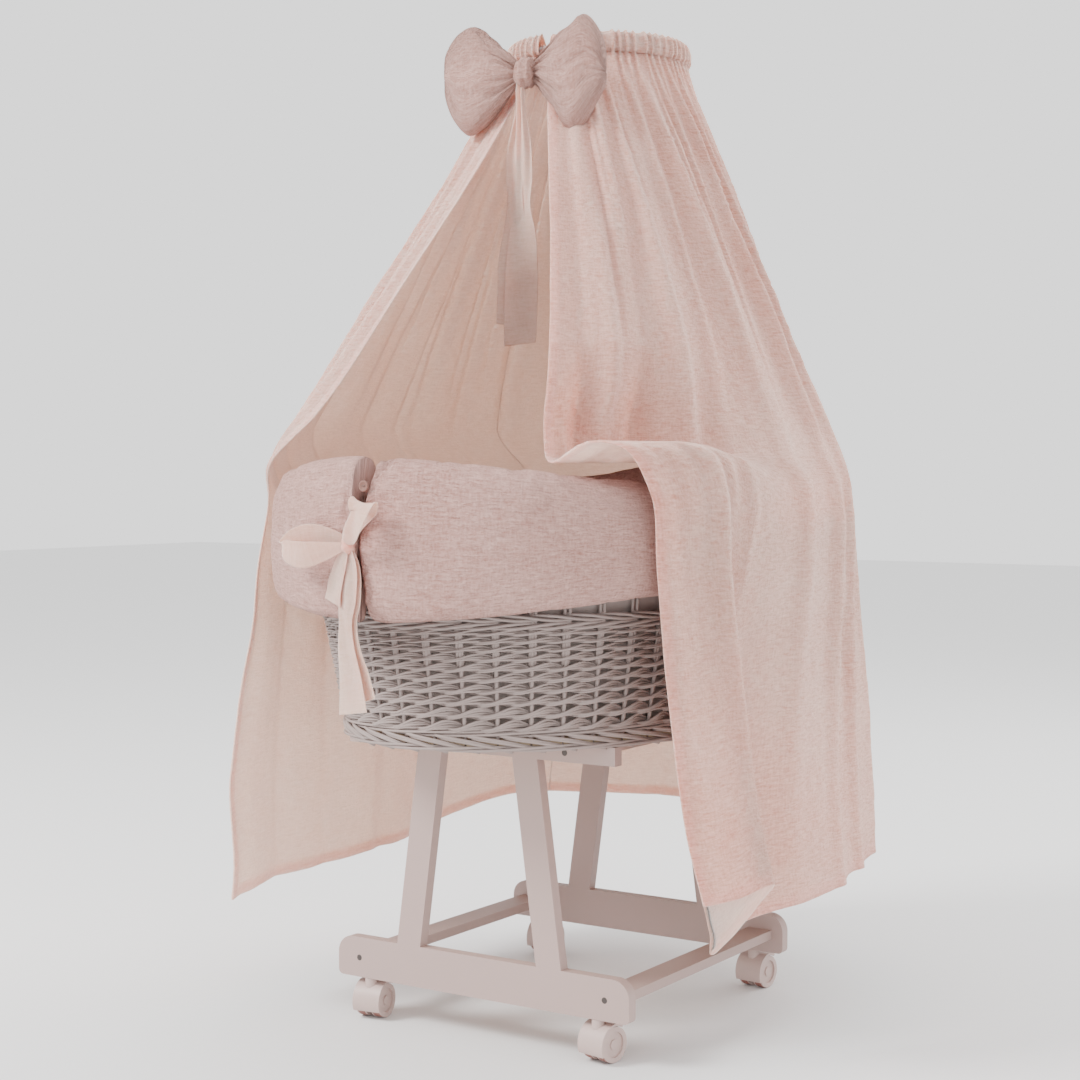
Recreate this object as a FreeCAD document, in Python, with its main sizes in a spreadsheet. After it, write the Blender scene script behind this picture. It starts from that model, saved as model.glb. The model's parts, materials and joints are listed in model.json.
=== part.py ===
import FreeCAD, Part
import math
import os
import re
import Sketcher

# A wicker bassinet on a timber stand with castors, under a gathered canopy.
# Millimetres, +Z up. The origin is on the floor under the stand's centre. X runs
# along the two runner boards and Y along the basket, whose foot end is at -Y.

doc = FreeCAD.newDocument("bassinet")

# ------------------------------------------------------------------ driving sizes

SIZES = [
    ("board_length", 510, "runner board, end to end"),
    ("board_height", 60, "runner board, bottom edge to top edge"),
    ("board_bottom", 61, "floor to the board's bottom edge"),
    ("board_offset", 235, "stand centre to the middle of a board"),
    ("board_shoulder", 26, "radius of a board's top corners"),
    ("board_toe", 8, "radius of a board's bottom corners"),
    ("timber_thickness", 18, "every board and leg"),
    ("timber_width", 42, "legs and rails, across the face"),
    ("rail_thickness", 14, "cross rail, top to bottom"),
    ("rail_bottom", 83, "floor to the underside of a cross rail"),
    ("rail_offset", 215.5, "stand centre to the middle of a cross rail"),
    ("leg_foot", 123, "stand centre to a leg's middle at the board"),
    ("leg_head", 83, "stand centre to a leg's middle at the bearer"),
    ("bearer_bottom", 415, "floor to the underside of a bearer"),
    ("bearer_height", 26, "bearers and battens, top to bottom"),
    ("bearer_length", 464, "bearer, end to end"),
    ("batten_offset", 150, "stand centre to the middle of a batten"),
    ("screw_radius", 2.5, "wood screw shank"),
    ("head_radius", 4.5, "wood screw head"),
    ("screw_length", 45, "wood screw"),
    ("dowel_radius", 4, "leg dowel"),
    ("dowel_length", 44, "leg dowel"),
    ("castor_x", 200, "stand centre to a castor stem, along X"),
    ("wheel_radius", 25, "castor wheel"),
    ("wheel_width", 16, "castor wheel, across one tread"),
    ("wheel_inner", 4.5, "castor centre to a wheel's inner face"),
    ("castor_trail", 12, "castor stem to the wheel axle"),
    ("axle_radius", 3, "castor axle"),
    ("axle_half", 17, "castor centre to the axle's end"),
    ("running_gap", 0.05, "radial play of each turning fit"),
    ("hood_outer", 30, "outer radius of the castor hood"),
    ("hood_inner", 26.5, "inner radius of the castor hood"),
    ("hood_half", 22.5, "half the width of the castor hood"),
    ("web_half", 3.5, "half the thickness of the hood's middle web"),
    ("boss_radius", 9, "boss around the stem, on the hood"),
    ("boss_height", 13.5, "boss, top to bottom"),
    ("boss_gap", 0.5, "boss clear of the board"),
    ("hub_radius", 8, "hub around the axle, on the hood's web"),
    ("dish_radius", 18, "dish in a wheel's outer face"),
    ("dish_depth", 3, "depth of that dish"),
    ("cap_radius", 7, "raised cap in the dish"),
    ("wheel_hole", 13, "depth of a wheel's blind hole for the axle"),
    ("stem_radius", 4, "castor stem"),
    ("stem_bottom", 44, "floor to the lower end of the castor stem"),
    ("stem_top", 103, "floor to the upper end of the castor stem"),
    ("socket_radius", 6, "outer radius of the steel sleeve"),
    ("socket_top", 105, "floor to the top of the steel sleeve"),
    ("basket_bottom", 441, "floor to the basket's foot border"),
    ("foot_height", 14, "foot border, top to bottom"),
    ("foot_half_x", 288, "foot border's outer half width"),
    ("foot_half_y", 420, "foot border's outer half length"),
    ("wall_foot_x", 280, "wall's outer half width at its foot"),
    ("wall_foot_y", 412, "wall's outer half length at its foot"),
    ("wall_waist_z", 625, "floor to the top of the woven zone"),
    ("wall_waist_x", 317, "wall's outer half width there"),
    ("wall_waist_y", 447, "wall's outer half length there"),
    ("wall_head_z", 778, "floor to the underside of the top border"),
    ("wall_head_x", 341, "wall's outer half width there"),
    ("wall_head_y", 472, "wall's outer half length there"),
    ("wall_thickness", 10, "woven wall"),
    ("border_height", 18, "plaited top border"),
    ("border_overhang", 4, "top border beyond the wall"),
    ("liner_thickness", 4, "cloth liner"),
    ("liner_gap", 1, "liner clear of the wall"),
    ("mattress_half_x", 250, "mattress half width"),
    ("mattress_half_y", 355, "mattress half length"),
    ("mattress_height", 55, "mattress thickness"),
    ("mattress_shift", -14, "mattress centre, moved towards the foot end"),
    ("flap_half_x", 379, "padded flap's outer half width"),
    ("flap_half_y", 509, "padded flap's outer half length"),
    ("flap_bottom", 640, "floor to a flap's lower edge"),
    ("flap_shoulder", 797, "floor to the underside of the flap's fold"),
    ("flap_top", 812, "floor to the top of the flap's fold"),
    ("flap_gap", 14, "gap between the two flaps at the foot end"),
    ("flap_skirt_x", 30, "flap's skirt at the sides, outside to inside"),
    ("flap_skirt_y", 29, "flap's skirt at the ends, outside to inside"),
    ("flap_fold_x", 57, "flap's fold over the rim at the sides"),
    ("flap_fold_y", 56, "flap's fold over the rim at the ends"),
    ("button_radius", 5.5, "flap button"),
    ("button_depth", 4, "flap button, front to back"),
    ("button_height", 800, "floor to the button's centre"),
    ("tie_height", 728, "floor to the knot of the flap tie"),
    ("tie_front", 520, "stand centre to the front of the flap tie"),
    ("tie_knot_half", 12, "half the knot of the flap tie"),
    ("tie_loop_half", 42, "half the width of a loop of the flap tie"),
    ("tie_loop_height", 20, "half the height of a loop of the flap tie"),
    ("tie_loop_depth", 4, "half the depth of a loop of the flap tie"),
    ("tie_loop_rise", 12, "the right loop's centre above the knot's"),
    ("tie_tail_length", 210, "the flap tie's long tail"),
    ("tie_tail_width", 34, "width of the flap tie's long tail"),
    ("tie_short_width", 20, "width of the flap tie's short tail"),
    ("ribbon_depth", 3, "front to back of a flap tie's tail"),
    ("pole_radius", 7, "canopy pole"),
    ("pole_offset", 368, "stand centre to the pole's foot"),
    ("pole_bend_z", 800, "floor to the start of the pole's bend"),
    ("flange_width", 18, "bracket's flange beyond the pole"),
    ("flange_height", 3, "bracket's flange, top to bottom"),
    ("collar_wall", 4, "wall of the bracket's collar"),
    ("collar_height", 30, "bracket's collar, top to bottom"),
    ("clip_width", 22, "clip that holds the ring on the pole"),
    ("clip_depth", 13, "clip, front to back"),
    ("clip_height", 26, "clip, top to bottom"),
    ("ring_height", 1455, "floor to the canopy ring"),
    ("ring_centre", 87, "stand centre to the ring's centre, along Y"),
    ("ring_radius", 127, "canopy ring, to the middle of its wire"),
    ("ring_wire", 5, "radius of the ring's wire"),
    ("drape_thickness", 2, "gathered cloth"),
    ("drape_top", 1463, "floor to the top of the drape"),
    ("drape_rim", 830, "floor to the height where the drape passes the rim"),
    ("drape_hem", 205, "floor to the drape's hem"),
    ("drape_top_right", -92, "the drape's right edge at the ring, in degrees from the X axis"),
    ("drape_top_left", 244, "the drape's left edge at the ring, in degrees"),
    ("drape_rim_right", -50, "the drape's right edge at the rim, in degrees"),
    ("drape_rim_left", 207, "the drape's left edge at the rim, in degrees"),
    ("drape_hem_right", -30, "the drape's right edge at the hem, in degrees"),
    ("drape_hem_left", 217, "the drape's left edge at the hem, in degrees"),
    ("drape_rim_clear", 5, "the drape beyond the flaps at the rim's sides"),
    ("drape_hem_clear", 25, "the drape beyond the flaps at the hem's sides"),
    ("drape_end_clear", 11, "the drape beyond the flaps at the head end"),
    ("bow_height", 1404, "floor to the knot of the canopy bow"),
    ("bow_x", 1, "stand centre to the knot of the canopy bow, along X"),
    ("bow_y", -118, "stand centre to the knot of the canopy bow, along Y"),
    ("bow_turn", -13.6, "the bow's turn from the X axis, in degrees"),
    ("bow_spread", 90, "the knot to the middle of a loop"),
    ("bow_knot_half", 20, "half the knot's width"),
    ("bow_loop_half_y", 18, "half of a loop's depth"),
    ("bow_loop_half_x", 64, "half of a loop's width"),
    ("bow_loop_half_z", 74, "half of a loop's height"),
    ("bow_tail_length", 290, "a tail, below the neck of the bow"),
    ("bow_tail_width", 50, "width of a tail"),
    ("bow_neck_width", 14, "width of the tails where they leave the knot"),
    ("bow_neck_length", 90, "the narrow upper part of the tails"),
    ("bow_tail_depth", 2, "front to back of a tail"),
]

sheet = doc.addObject("Spreadsheet::Sheet", "sizes")
for row, (alias, value, meaning) in enumerate(SIZES, 1):
    sheet.set("A%d" % row, meaning)
    sheet.set("B%d" % row, str(value))
    sheet.setAlias("B%d" % row, alias)
doc.recompute()


def formula(text):
    """The sheet's expression for a formula written in the names above."""
    return re.sub(r"\b[a-z]+(?:_[a-z]+)+\b", lambda word: "sizes." + word.group(), str(text))


def size(text):
    """The number that a formula has now, in millimetres."""
    value = sheet.evalExpression(formula(text))
    return float(getattr(value, "Value", value))


# ---------------------------------------------------------------- building blocks

parts = []


def bind(item, **formulas):
    """Bind properties to formulas; x, y and z are the coordinates of the item's Placement."""
    for name, text in formulas.items():
        prop = "Placement.Base." + name if name in "xyz" else name
        item.setExpression(prop, formula(text))
    return item


def solid(kind, name, **formulas):
    """One of Part's parametric solids or outlines, bound to the sheet."""
    return bind(doc.addObject("Part::" + kind, name), **formulas)


def turn(item, axis, angle):
    """Turn an item about one of the world's axes through its own base point."""
    rotation = FreeCAD.Rotation(FreeCAD.Vector(*axis), angle)
    item.Placement.Rotation = rotation.multiply(item.Placement.Rotation)
    return item


def cut(name, base, tools):
    """The base with the tools taken away."""
    result = doc.addObject("Part::Cut", name)
    result.Base = base
    result.Tool = tools[0] if len(tools) == 1 else fuse(name + "_tools", tools)
    return result


def fuse(name, pieces):
    """The pieces joined into one shape."""
    result = doc.addObject("Part::MultiFuse", name)
    result.Shapes = pieces
    return result


def common(name, first, second):
    """What two shapes share."""
    result = doc.addObject("Part::Common", name)
    result.Base = first
    result.Tool = second
    return result


def group(name, pieces):
    """Separate solids, such as identical fasteners, kept together in one sub-part."""
    result = doc.addObject("Part::Compound", name)
    result.Links = pieces
    return result


def keep(item, label):
    """Name a finished sub-part; the label becomes its file name."""
    item.Label = label
    parts.append(item)
    return item


def outline(body, plane_role, corners):
    """A closed outline of straight lines on one of the body's own planes, one formula pair a corner."""
    sketch = body.newObject("Sketcher::SketchObject", body.Name + "_outline")
    plane = next(item for item in body.Origin.OriginFeatures if item.Role == plane_role)
    sketch.AttachmentSupport = [(plane, "")]
    sketch.MapMode = "FlatFace"
    places = [FreeCAD.Vector(size(x), size(y), 0) for x, y in corners]
    count = len(corners)
    for index in range(count):
        sketch.addGeometry(Part.LineSegment(places[index], places[(index + 1) % count]), False)
    for index in range(count):
        sketch.addConstraint(Sketcher.Constraint("Coincident", index, 2, (index + 1) % count, 1))
    for index, (x, y) in enumerate(corners):
        for direction, text in (("DistanceX", x), ("DistanceY", y)):
            number = sketch.addConstraint(Sketcher.Constraint(direction, -1, 1, index, 1, size(text)))
            sketch.setExpression("Constraints[%d]" % number, formula(text))
    return sketch


def slab(name, plane_role, corners, thickness):
    """A PartDesign body padded both ways from its outline."""
    body = doc.addObject("PartDesign::Body", name)
    pad = body.newObject("PartDesign::Pad", name + "_pad")
    pad.Profile = outline(body, plane_role, corners)
    pad.SideType = "Symmetric"
    pad.setExpression("Length", formula(thickness))
    body.Tip = pad
    doc.recompute()
    return body


def round_edges(body, picks):
    """Fillet groups of a body's edges; each pick is (test of the edge's middle, radius formula)."""
    for number, (test, radius) in enumerate(picks):
        base = body.Tip
        names = []
        for index, edge in enumerate(base.Shape.Edges, 1):
            if test(edge):
                names.append("Edge%d" % index)
        fillet = body.newObject("PartDesign::Fillet", "%s_round_%d" % (body.Name, number))
        fillet.Base = (base, names)
        fillet.setExpression("Radius", formula(radius))
        body.Tip = fillet
        doc.recompute()
    return body


def oval(name, half_x, half_y, height):
    """A level oval, longer along Y."""
    ring = solid("Ellipse", name, MinorRadius=half_x, MajorRadius=half_y, z=height)
    return turn(ring, (0, 0, 1), 90)


def oval_solid(name, levels):
    """A solid through level ovals, each level being (half width, half length, height)."""
    loft = doc.addObject("Part::Loft", name)
    loft.Sections = [oval("%s_level_%d" % (name, number), *level) for number, level in enumerate(levels)]
    loft.Solid = True
    loft.Ruled = True
    return loft


def oval_shell(name, levels, thickness):
    """A wall of even thickness between two oval solids."""
    inner = [("%s - %s" % (x, thickness), "%s - %s" % (y, thickness), z) for x, y, z in levels]
    return cut(name, oval_solid(name + "_outside", levels), [oval_solid(name + "_inside", inner)])


def rod_y(name, radius, length, x, y, z):
    """A round rod that starts at a point and runs along +Y."""
    return turn(solid("Cylinder", name, Radius=radius, Height=length, x=x, y=y, z=z), (1, 0, 0), -90)


def rod_x(name, radius, length, x, y, z):
    """A round rod that starts at a point and runs along +X."""
    return turn(solid("Cylinder", name, Radius=radius, Height=length, x=x, y=y, z=z), (0, 1, 0), 90)


def screw(name, x, y, z, axis=None, angle=0):
    """A countersunk wood screw, its head's face at the given point and its shank along local +Z."""
    shank = solid("Cylinder", name + "_shank", Radius="screw_radius", Height="screw_length")
    head = solid(
        "Cone", name + "_head", Radius1="head_radius", Radius2="screw_radius",
        Height="head_radius - screw_radius")
    joined = fuse(name, [shank, head])
    bind(joined, x=x, y=y, z=z)
    if axis:
        turn(joined, axis, angle)
    return joined


SIDES = (("left", "-"), ("right", "+"))
ENDS = (("front", "-"), ("back", "+"))
CORNERS = [(end + "_" + side, sx, sy) for end, sy in ENDS for side, sx in SIDES]

# ---------------------------------------------------------------------- fasteners

# Each pair of screws goes through a board's outer face into the end of a cross rail.
rail_screws = []
for corner, sx, sy in CORNERS:
    rail_screws.append(screw(
        "rail_screw_" + corner, sx + "rail_offset", sy + "(board_offset + timber_thickness / 2)",
        "rail_bottom + rail_thickness / 2", (1, 0, 0), -90 if sy == "-" else 90))

# One upright screw holds each leg under its bearer, and one level screw holds each batten's end.
bearer_screws = []
for corner, sx, sy in CORNERS:
    bearer_screws.append(screw(
        "head_screw_" + corner, sx + "leg_head", sy + "board_offset", "bearer_bottom + bearer_height",
        (1, 0, 0), 180))
    bearer_screws.append(screw(
        "batten_screw_" + corner, sx + "batten_offset", sy + "(board_offset + timber_thickness / 2)",
        "bearer_bottom + bearer_height / 2", (1, 0, 0), -90 if sy == "-" else 90))

dowels = []
for corner, sx, sy in CORNERS:
    dowels.append(solid(
        "Cylinder", "dowel_" + corner, Radius="dowel_radius", Height="dowel_length", x=sx + "leg_foot",
        y=sy + "board_offset", z="board_bottom + board_height - dowel_length / 2"))

# -------------------------------------------------------------------------- stand

board_corners = [
    ("-board_length / 2", "board_bottom"), ("board_length / 2", "board_bottom"),
    ("board_length / 2", "board_bottom + board_height"),
    ("-board_length / 2", "board_bottom + board_height")]


def across(edge):
    """An edge that runs along Y, through a board's thickness."""
    ends = [vertex.Point for vertex in edge.Vertexes]
    return len(ends) == 2 and abs(ends[0].y - ends[1].y) > size("timber_thickness") / 2


def upper(edge):
    return across(edge) and edge.CenterOfMass.z > size("board_bottom + board_height / 2")


def lower(edge):
    return across(edge) and edge.CenterOfMass.z < size("board_bottom + board_height / 2")


for end, sy in ENDS:
    board = slab(end + "_plank", "XZ_Plane", board_corners, "timber_thickness")
    round_edges(board, [(upper, "board_shoulder"), (lower, "board_toe")])
    bind(board, y=sy + "board_offset")
    holes = [rail_screws[index] for index, (_, _, s) in enumerate(CORNERS) if s == sy]
    holes += [dowels[index] for index, (_, _, s) in enumerate(CORNERS) if s == sy]
    for side, sx in SIDES:
        holes.append(solid(
            "Cylinder", "socket_hole_%s_%s" % (end, side), Radius="socket_radius",
            Height="socket_top - board_bottom", x=sx + "castor_x", y=sy + "board_offset",
            z="board_bottom"))
    keep(cut(end + "_board_cut", board, holes), end + "_board")

for side, sx in SIDES:
    rail = solid(
        "Box", side + "_rail_bar", Length="timber_width", Width="2 * board_offset - timber_thickness",
        Height="rail_thickness", x=sx + "rail_offset - timber_width / 2",
        y="-board_offset + timber_thickness / 2", z="rail_bottom")
    own_screws = [screw_end for screw_end, corner in zip(rail_screws, CORNERS) if corner[1] == sx]
    keep(cut(side + "_rail_cut", rail, own_screws), side + "_rail")

for index, (corner, sx, sy) in enumerate(CORNERS):
    leg = slab(corner + "_post", "XZ_Plane", [
        (sx + "leg_foot - timber_width / 2", "board_bottom + board_height"),
        (sx + "leg_foot + timber_width / 2", "board_bottom + board_height"),
        (sx + "leg_head + timber_width / 2", "bearer_bottom"),
        (sx + "leg_head - timber_width / 2", "bearer_bottom")], "timber_thickness")
    bind(leg, y=sy + "board_offset")
    keep(cut(corner + "_leg_cut", leg, [dowels[index], bearer_screws[2 * index]]), corner + "_leg")

for end, sy in ENDS:
    bearer = solid(
        "Box", end + "_bearer_bar", Length="bearer_length", Width="timber_thickness",
        Height="bearer_height",
        x="-bearer_length / 2", y=sy + "board_offset - timber_thickness / 2", z="bearer_bottom")
    tools = [bearer_screws[2 * i + j] for i, c in enumerate(CORNERS) if c[2] == sy for j in (0, 1)]
    keep(cut(end + "_bearer_cut", bearer, tools), end + "_bearer")

for side, sx in SIDES:
    batten = solid(
        "Box", side + "_batten_bar", Length="timber_thickness", Width="2 * board_offset - timber_thickness",
        Height="bearer_height", x=sx + "batten_offset - timber_thickness / 2",
        y="-board_offset + timber_thickness / 2", z="bearer_bottom")
    tools = [bearer_screws[2 * i + 1] for i, c in enumerate(CORNERS) if c[1] == sx]
    keep(cut(side + "_batten_cut", batten, tools), side + "_batten")

keep(group("rail_screw_set", rail_screws), "rail_screws")
keep(group("bearer_screw_set", bearer_screws), "bearer_screws")
keep(group("dowel_set", dowels), "leg_dowels")

# ------------------------------------------------------------------------ castors

# Each castor is built about its own stem, at X = Y = 0, and then stood at its corner,
# turned a little from the next one as castors rest after a push.
REST_TURN = {"front_left": 8, "front_right": -10, "back_left": 3, "back_right": -5}
HOOD_START = 150
HOOD_SWEEP = 145


def axle_rod(name, radius, length, start):
    """A rod on the wheels' common axis, from a place along it."""
    return rod_x(name, radius, length, start, "castor_trail", "wheel_radius")


def castor_socket(tag):
    """The steel sleeve in the board, bored for the stem with a running fit."""
    depth = "socket_top - board_bottom"
    sleeve = solid("Cylinder", tag + "_sleeve", Radius="socket_radius", Height=depth, z="board_bottom")
    bore = solid("Cylinder", tag + "_bore", Radius="stem_radius + running_gap", Height=depth,
                 z="board_bottom")
    return cut(tag + "_socket", sleeve, [bore])


def castor_hood(tag, stem, axle):
    """The plastic hood: part of a drum with a middle web, a boss for the stem and a hub for the axle."""
    drum = solid("Cylinder", tag + "_drum", Radius="hood_outer", Height="2 * hood_half",
                 x="-hood_half", y="castor_trail", z="wheel_radius")
    drum.Angle = HOOD_SWEEP
    turn(turn(drum, (0, 0, 1), HOOD_START), (0, 1, 0), 90)
    boss = solid("Cylinder", tag + "_boss", Radius="boss_radius", Height="boss_height",
                 z="board_bottom - boss_gap - boss_height")
    hub = axle_rod(tag + "_hub", "hub_radius", "2 * web_half", "-web_half")
    pocket_width = "hood_half - web_half + 1"
    pockets = [axle_rod(tag + "_pocket_left", "hood_inner", pocket_width, "-hood_half - 1"),
               axle_rod(tag + "_pocket_right", "hood_inner", pocket_width, "web_half")]
    return cut(tag + "_hood", fuse(tag + "_hood_blank", [drum, boss, hub]), pockets + [stem, axle])


def castor_wheel(tag, side):
    """A wheel with a dished outer face, a raised cap in the dish and a blind hole for the axle."""
    name = tag + "_" + side
    face = "wheel_inner + wheel_width"
    if side == "left":
        starts = ["-(%s)" % face, "-(%s)" % face, "-(%s) + 1" % face, "-wheel_inner - wheel_hole"]
    else:
        starts = ["wheel_inner", face + " - dish_depth", face + " - dish_depth", "wheel_inner"]
    disc = axle_rod(name + "_disc", "wheel_radius", "wheel_width", starts[0])
    dish = axle_rod(name + "_dish", "dish_radius", "dish_depth", starts[1])
    cap = axle_rod(name + "_cap", "cap_radius", "dish_depth - 1", starts[2])
    hole = axle_rod(name + "_hole", "axle_radius + running_gap", "wheel_hole", starts[3])
    return cut(name + "_wheel", disc, [cut(name + "_recess", dish, [cap]), hole])


sockets = []
for corner, sx, sy in CORNERS:
    tag = corner + "_castor"
    socket = castor_socket(tag)
    stem = solid("Cylinder", tag + "_stem", Radius="stem_radius", Height="stem_top - stem_bottom",
                 z="stem_bottom")
    axle = axle_rod(tag + "_axle", "axle_radius", "2 * axle_half", "-axle_half")
    pieces = {
        "stem": group(tag + "_stem_piece", [stem]), "axle": group(tag + "_axle_piece", [axle]),
        "hood": castor_hood(tag, stem, axle),
        "wheel_left": castor_wheel(tag, "left"), "wheel_right": castor_wheel(tag, "right")}
    for piece in [socket] + list(pieces.values()):
        bind(turn(piece, (0, 0, 1), REST_TURN[corner]), x=sx + "castor_x", y=sy + "board_offset")
    for word, piece in pieces.items():
        keep(piece, "castor_%s_%s" % (corner, word))
    sockets.append(socket)
keep(group("socket_set", sockets), "castor_sockets")

# ------------------------------------------------------------------------- basket

foot_levels = [("foot_half_x", "foot_half_y", "basket_bottom"),
               ("foot_half_x", "foot_half_y", "basket_bottom + foot_height")]
base_levels = [("foot_half_x - 2 * wall_thickness", "foot_half_y - 2 * wall_thickness", level)
               for _, _, level in foot_levels]
wall_levels = [("wall_foot_x", "wall_foot_y", "basket_bottom + foot_height"),
               ("wall_waist_x", "wall_waist_y", "wall_waist_z"),
               ("wall_head_x", "wall_head_y", "wall_head_z")]
liner_levels = [("%s - wall_thickness - liner_gap" % x, "%s - wall_thickness - liner_gap" % y, z)
                for x, y, z in wall_levels]
border_levels = [("wall_head_x + border_overhang", "wall_head_y + border_overhang", "wall_head_z"),
                 ("wall_head_x + border_overhang", "wall_head_y + border_overhang",
                  "wall_head_z + border_height")]

keep(oval_shell("foot_border", foot_levels, "2 * wall_thickness"), "basket_foot_border")
keep(oval_solid("base", base_levels), "basket_base")
keep(oval_shell("wall", wall_levels, "wall_thickness"), "basket_wall")
keep(oval_shell("top_border", border_levels, "wall_thickness + border_overhang"), "basket_top_border")
keep(oval_shell("liner_shell", liner_levels, "liner_thickness"), "liner")

mattress_levels = [("mattress_half_x", "mattress_half_y", "basket_bottom + foot_height"),
                   ("mattress_half_x", "mattress_half_y", "basket_bottom + foot_height + mattress_height")]
keep(bind(oval_solid("mattress_pad", mattress_levels), y="mattress_shift"), "mattress")

# -------------------------------------------------------------------------- flaps

# The two padded flaps are one oval ring with a cap folded inwards over the rim,
# parted along the basket's length.
flap_x = "flap_half_x - flap_skirt_x"
flap_y = "flap_half_y - flap_skirt_y"
fold_x = "flap_half_x - flap_fold_x"
fold_y = "flap_half_y - flap_fold_y"
skirt = oval_solid("flap_outside", [("flap_half_x", "flap_half_y", "flap_bottom"),
                                    ("flap_half_x", "flap_half_y", "flap_top")])
under = oval_solid("flap_under", [(flap_x, flap_y, "flap_bottom"), (flap_x, flap_y, "flap_shoulder")])
mouth = oval_solid("flap_mouth", [(fold_x, fold_y, "flap_bottom"), (fold_x, fold_y, "flap_top")])
flap_ring = cut("flap_ring", skirt, [under, mouth])
for side, start in (("left", "-flap_half_x - 1 - flap_gap / 2"), ("right", "flap_gap / 2")):
    half = solid("Box", side + "_half", Length="flap_half_x + 1", Width="2 * flap_half_y + 2",
                 Height="flap_top - flap_bottom", x=start, y="-flap_half_y - 1", z="flap_bottom")
    keep(common(side + "_flap_half", flap_ring, half), "flap_" + side)

button = rod_y("flap_button_disc", "button_radius", "button_depth", "flap_gap / 2 + button_radius",
               "-flap_half_y - button_depth - 1", "button_height")
keep(button, "flap_button")

# The ribbon tie: a knot with a flat loop on each side, and two tails below it. The
# pieces meet face to face.
tie_y = "-tie_front + 5"
tie_loop_x = "tie_knot_half + tie_loop_half + 0.5"
tie_pieces = [
    solid("Box", "tie_knot", Length="2 * tie_knot_half", Width="10", Height="2 * tie_knot_half",
          x="-tie_knot_half", y="-tie_front", z="tie_height - tie_knot_half"),
    solid("Ellipsoid", "tie_loop_left", Radius1="tie_loop_height", Radius2="tie_loop_half",
          Radius3="tie_loop_depth", x="-(%s)" % tie_loop_x, y=tie_y, z="tie_height"),
    solid("Ellipsoid", "tie_loop_right", Radius1="tie_loop_height", Radius2="tie_loop_half",
          Radius3="tie_loop_depth", x=tie_loop_x, y=tie_y, z="tie_height + tie_loop_rise"),
    solid("Box", "tie_tail_long", Length="tie_tail_width", Width="ribbon_depth", Height="tie_tail_length",
          x="tie_knot_half - tie_tail_width", y="-tie_front + 4",
          z="tie_height - tie_knot_half - tie_tail_length"),
    solid("Box", "tie_tail_short", Length="tie_short_width", Width="ribbon_depth",
          Height="tie_tail_length / 3", x="tie_knot_half - tie_tail_width - tie_short_width",
          y="-tie_front + 4", z="tie_height - tie_knot_half - tie_tail_length / 2")]
keep(group("tie_bow_set", tie_pieces), "tie_bow")

# ------------------------------------------------------------------------- canopy

# The pole stands in a flanged bracket on the basket's base. It rises straight and
# then leans forward along one arc that ends at the back of the ring.
pole_foot = size("basket_bottom + foot_height")
pole_y = size("pole_offset")
bend_z = size("pole_bend_z")
ring_back = size("ring_centre + ring_radius")
ring_z = size("ring_height")
lean = 2 * math.atan2(pole_y - ring_back, ring_z - bend_z)
bend_radius = (ring_z - bend_z) / math.sin(lean)
stop = lean - size("ring_wire + 3") / bend_radius


def on_bend(angle):
    """A point of the pole's arc, by the angle turned since the bend began."""
    y = pole_y - bend_radius * (1 - math.cos(angle))
    return FreeCAD.Vector(0, y, bend_z + bend_radius * math.sin(angle))


pole_path = Part.Wire([
    Part.LineSegment(FreeCAD.Vector(0, pole_y, pole_foot), on_bend(0)).toShape(),
    Part.Arc(on_bend(0), on_bend(stop / 2), on_bend(stop)).toShape()])
pole_section = Part.Wire([Part.makeCircle(
    size("pole_radius"), FreeCAD.Vector(0, pole_y, pole_foot), FreeCAD.Vector(0, 0, 1))])
pole = doc.addObject("Part::Feature", "pole_rod")
pole.Shape = pole_path.makePipeShell([pole_section], True, True)
keep(pole, "canopy_pole")

base_top = "basket_bottom + foot_height"
flange = solid("Cylinder", "bracket_flange", Radius="pole_radius + flange_width", Height="flange_height",
               y="pole_offset", z=base_top)
collar = solid("Cylinder", "bracket_collar", Radius="pole_radius + collar_wall", Height="collar_height",
               y="pole_offset", z=base_top)
bracket_bore = solid("Cylinder", "bracket_bore", Radius="pole_radius", Height="collar_height",
                     y="pole_offset", z=base_top)
keep(cut("bracket", fuse("bracket_blank", [flange, collar]), [bracket_bore]), "pole_bracket")

ring = solid("Torus", "ring_wire_loop", Radius1="ring_radius", Radius2="ring_wire", y="ring_centre",
             z="ring_height")
keep(ring, "canopy_ring")

clip = solid("Box", "clip_block", Length="clip_width", Width="clip_depth", Height="clip_height",
             x="-clip_width / 2", y="ring_centre + ring_radius - 7", z="ring_height - 18")
keep(cut("clip", clip, [ring, pole]), "ring_clip")


def drape_edge(half_x, half_y, middle_y, height, first, last):
    """One side of the drape's cut at a height: part of an oval, between two angles in degrees."""
    points = []
    for step in range(DRAPE_STEPS + 1):
        angle = math.radians(first + (last - first) * step / DRAPE_STEPS)
        y = middle_y + half_y * math.sin(angle)
        points.append(FreeCAD.Vector(half_x * math.cos(angle), y, height))
    curve = Part.BSplineCurve()
    curve.interpolate(points)
    return curve.toShape()


def drape_section(half_x, half_y, middle_y, height, first, last):
    """The drape's whole cut at a height: a thin open oval with a gap towards the foot end."""
    thickness = size("drape_thickness")
    outer = drape_edge(half_x, half_y, middle_y, height, first, last)
    inner = drape_edge(half_x - thickness, half_y - thickness, middle_y, height, first, last)
    tails = [outer.valueAt(outer.LastParameter), outer.valueAt(outer.FirstParameter)]
    heads = [inner.valueAt(inner.LastParameter), inner.valueAt(inner.FirstParameter)]
    edges = [outer, Part.LineSegment(tails[0], heads[0]).toShape(), inner.reversed(),
             Part.LineSegment(heads[1], tails[1]).toShape()]
    return Part.Wire(edges)


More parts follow.
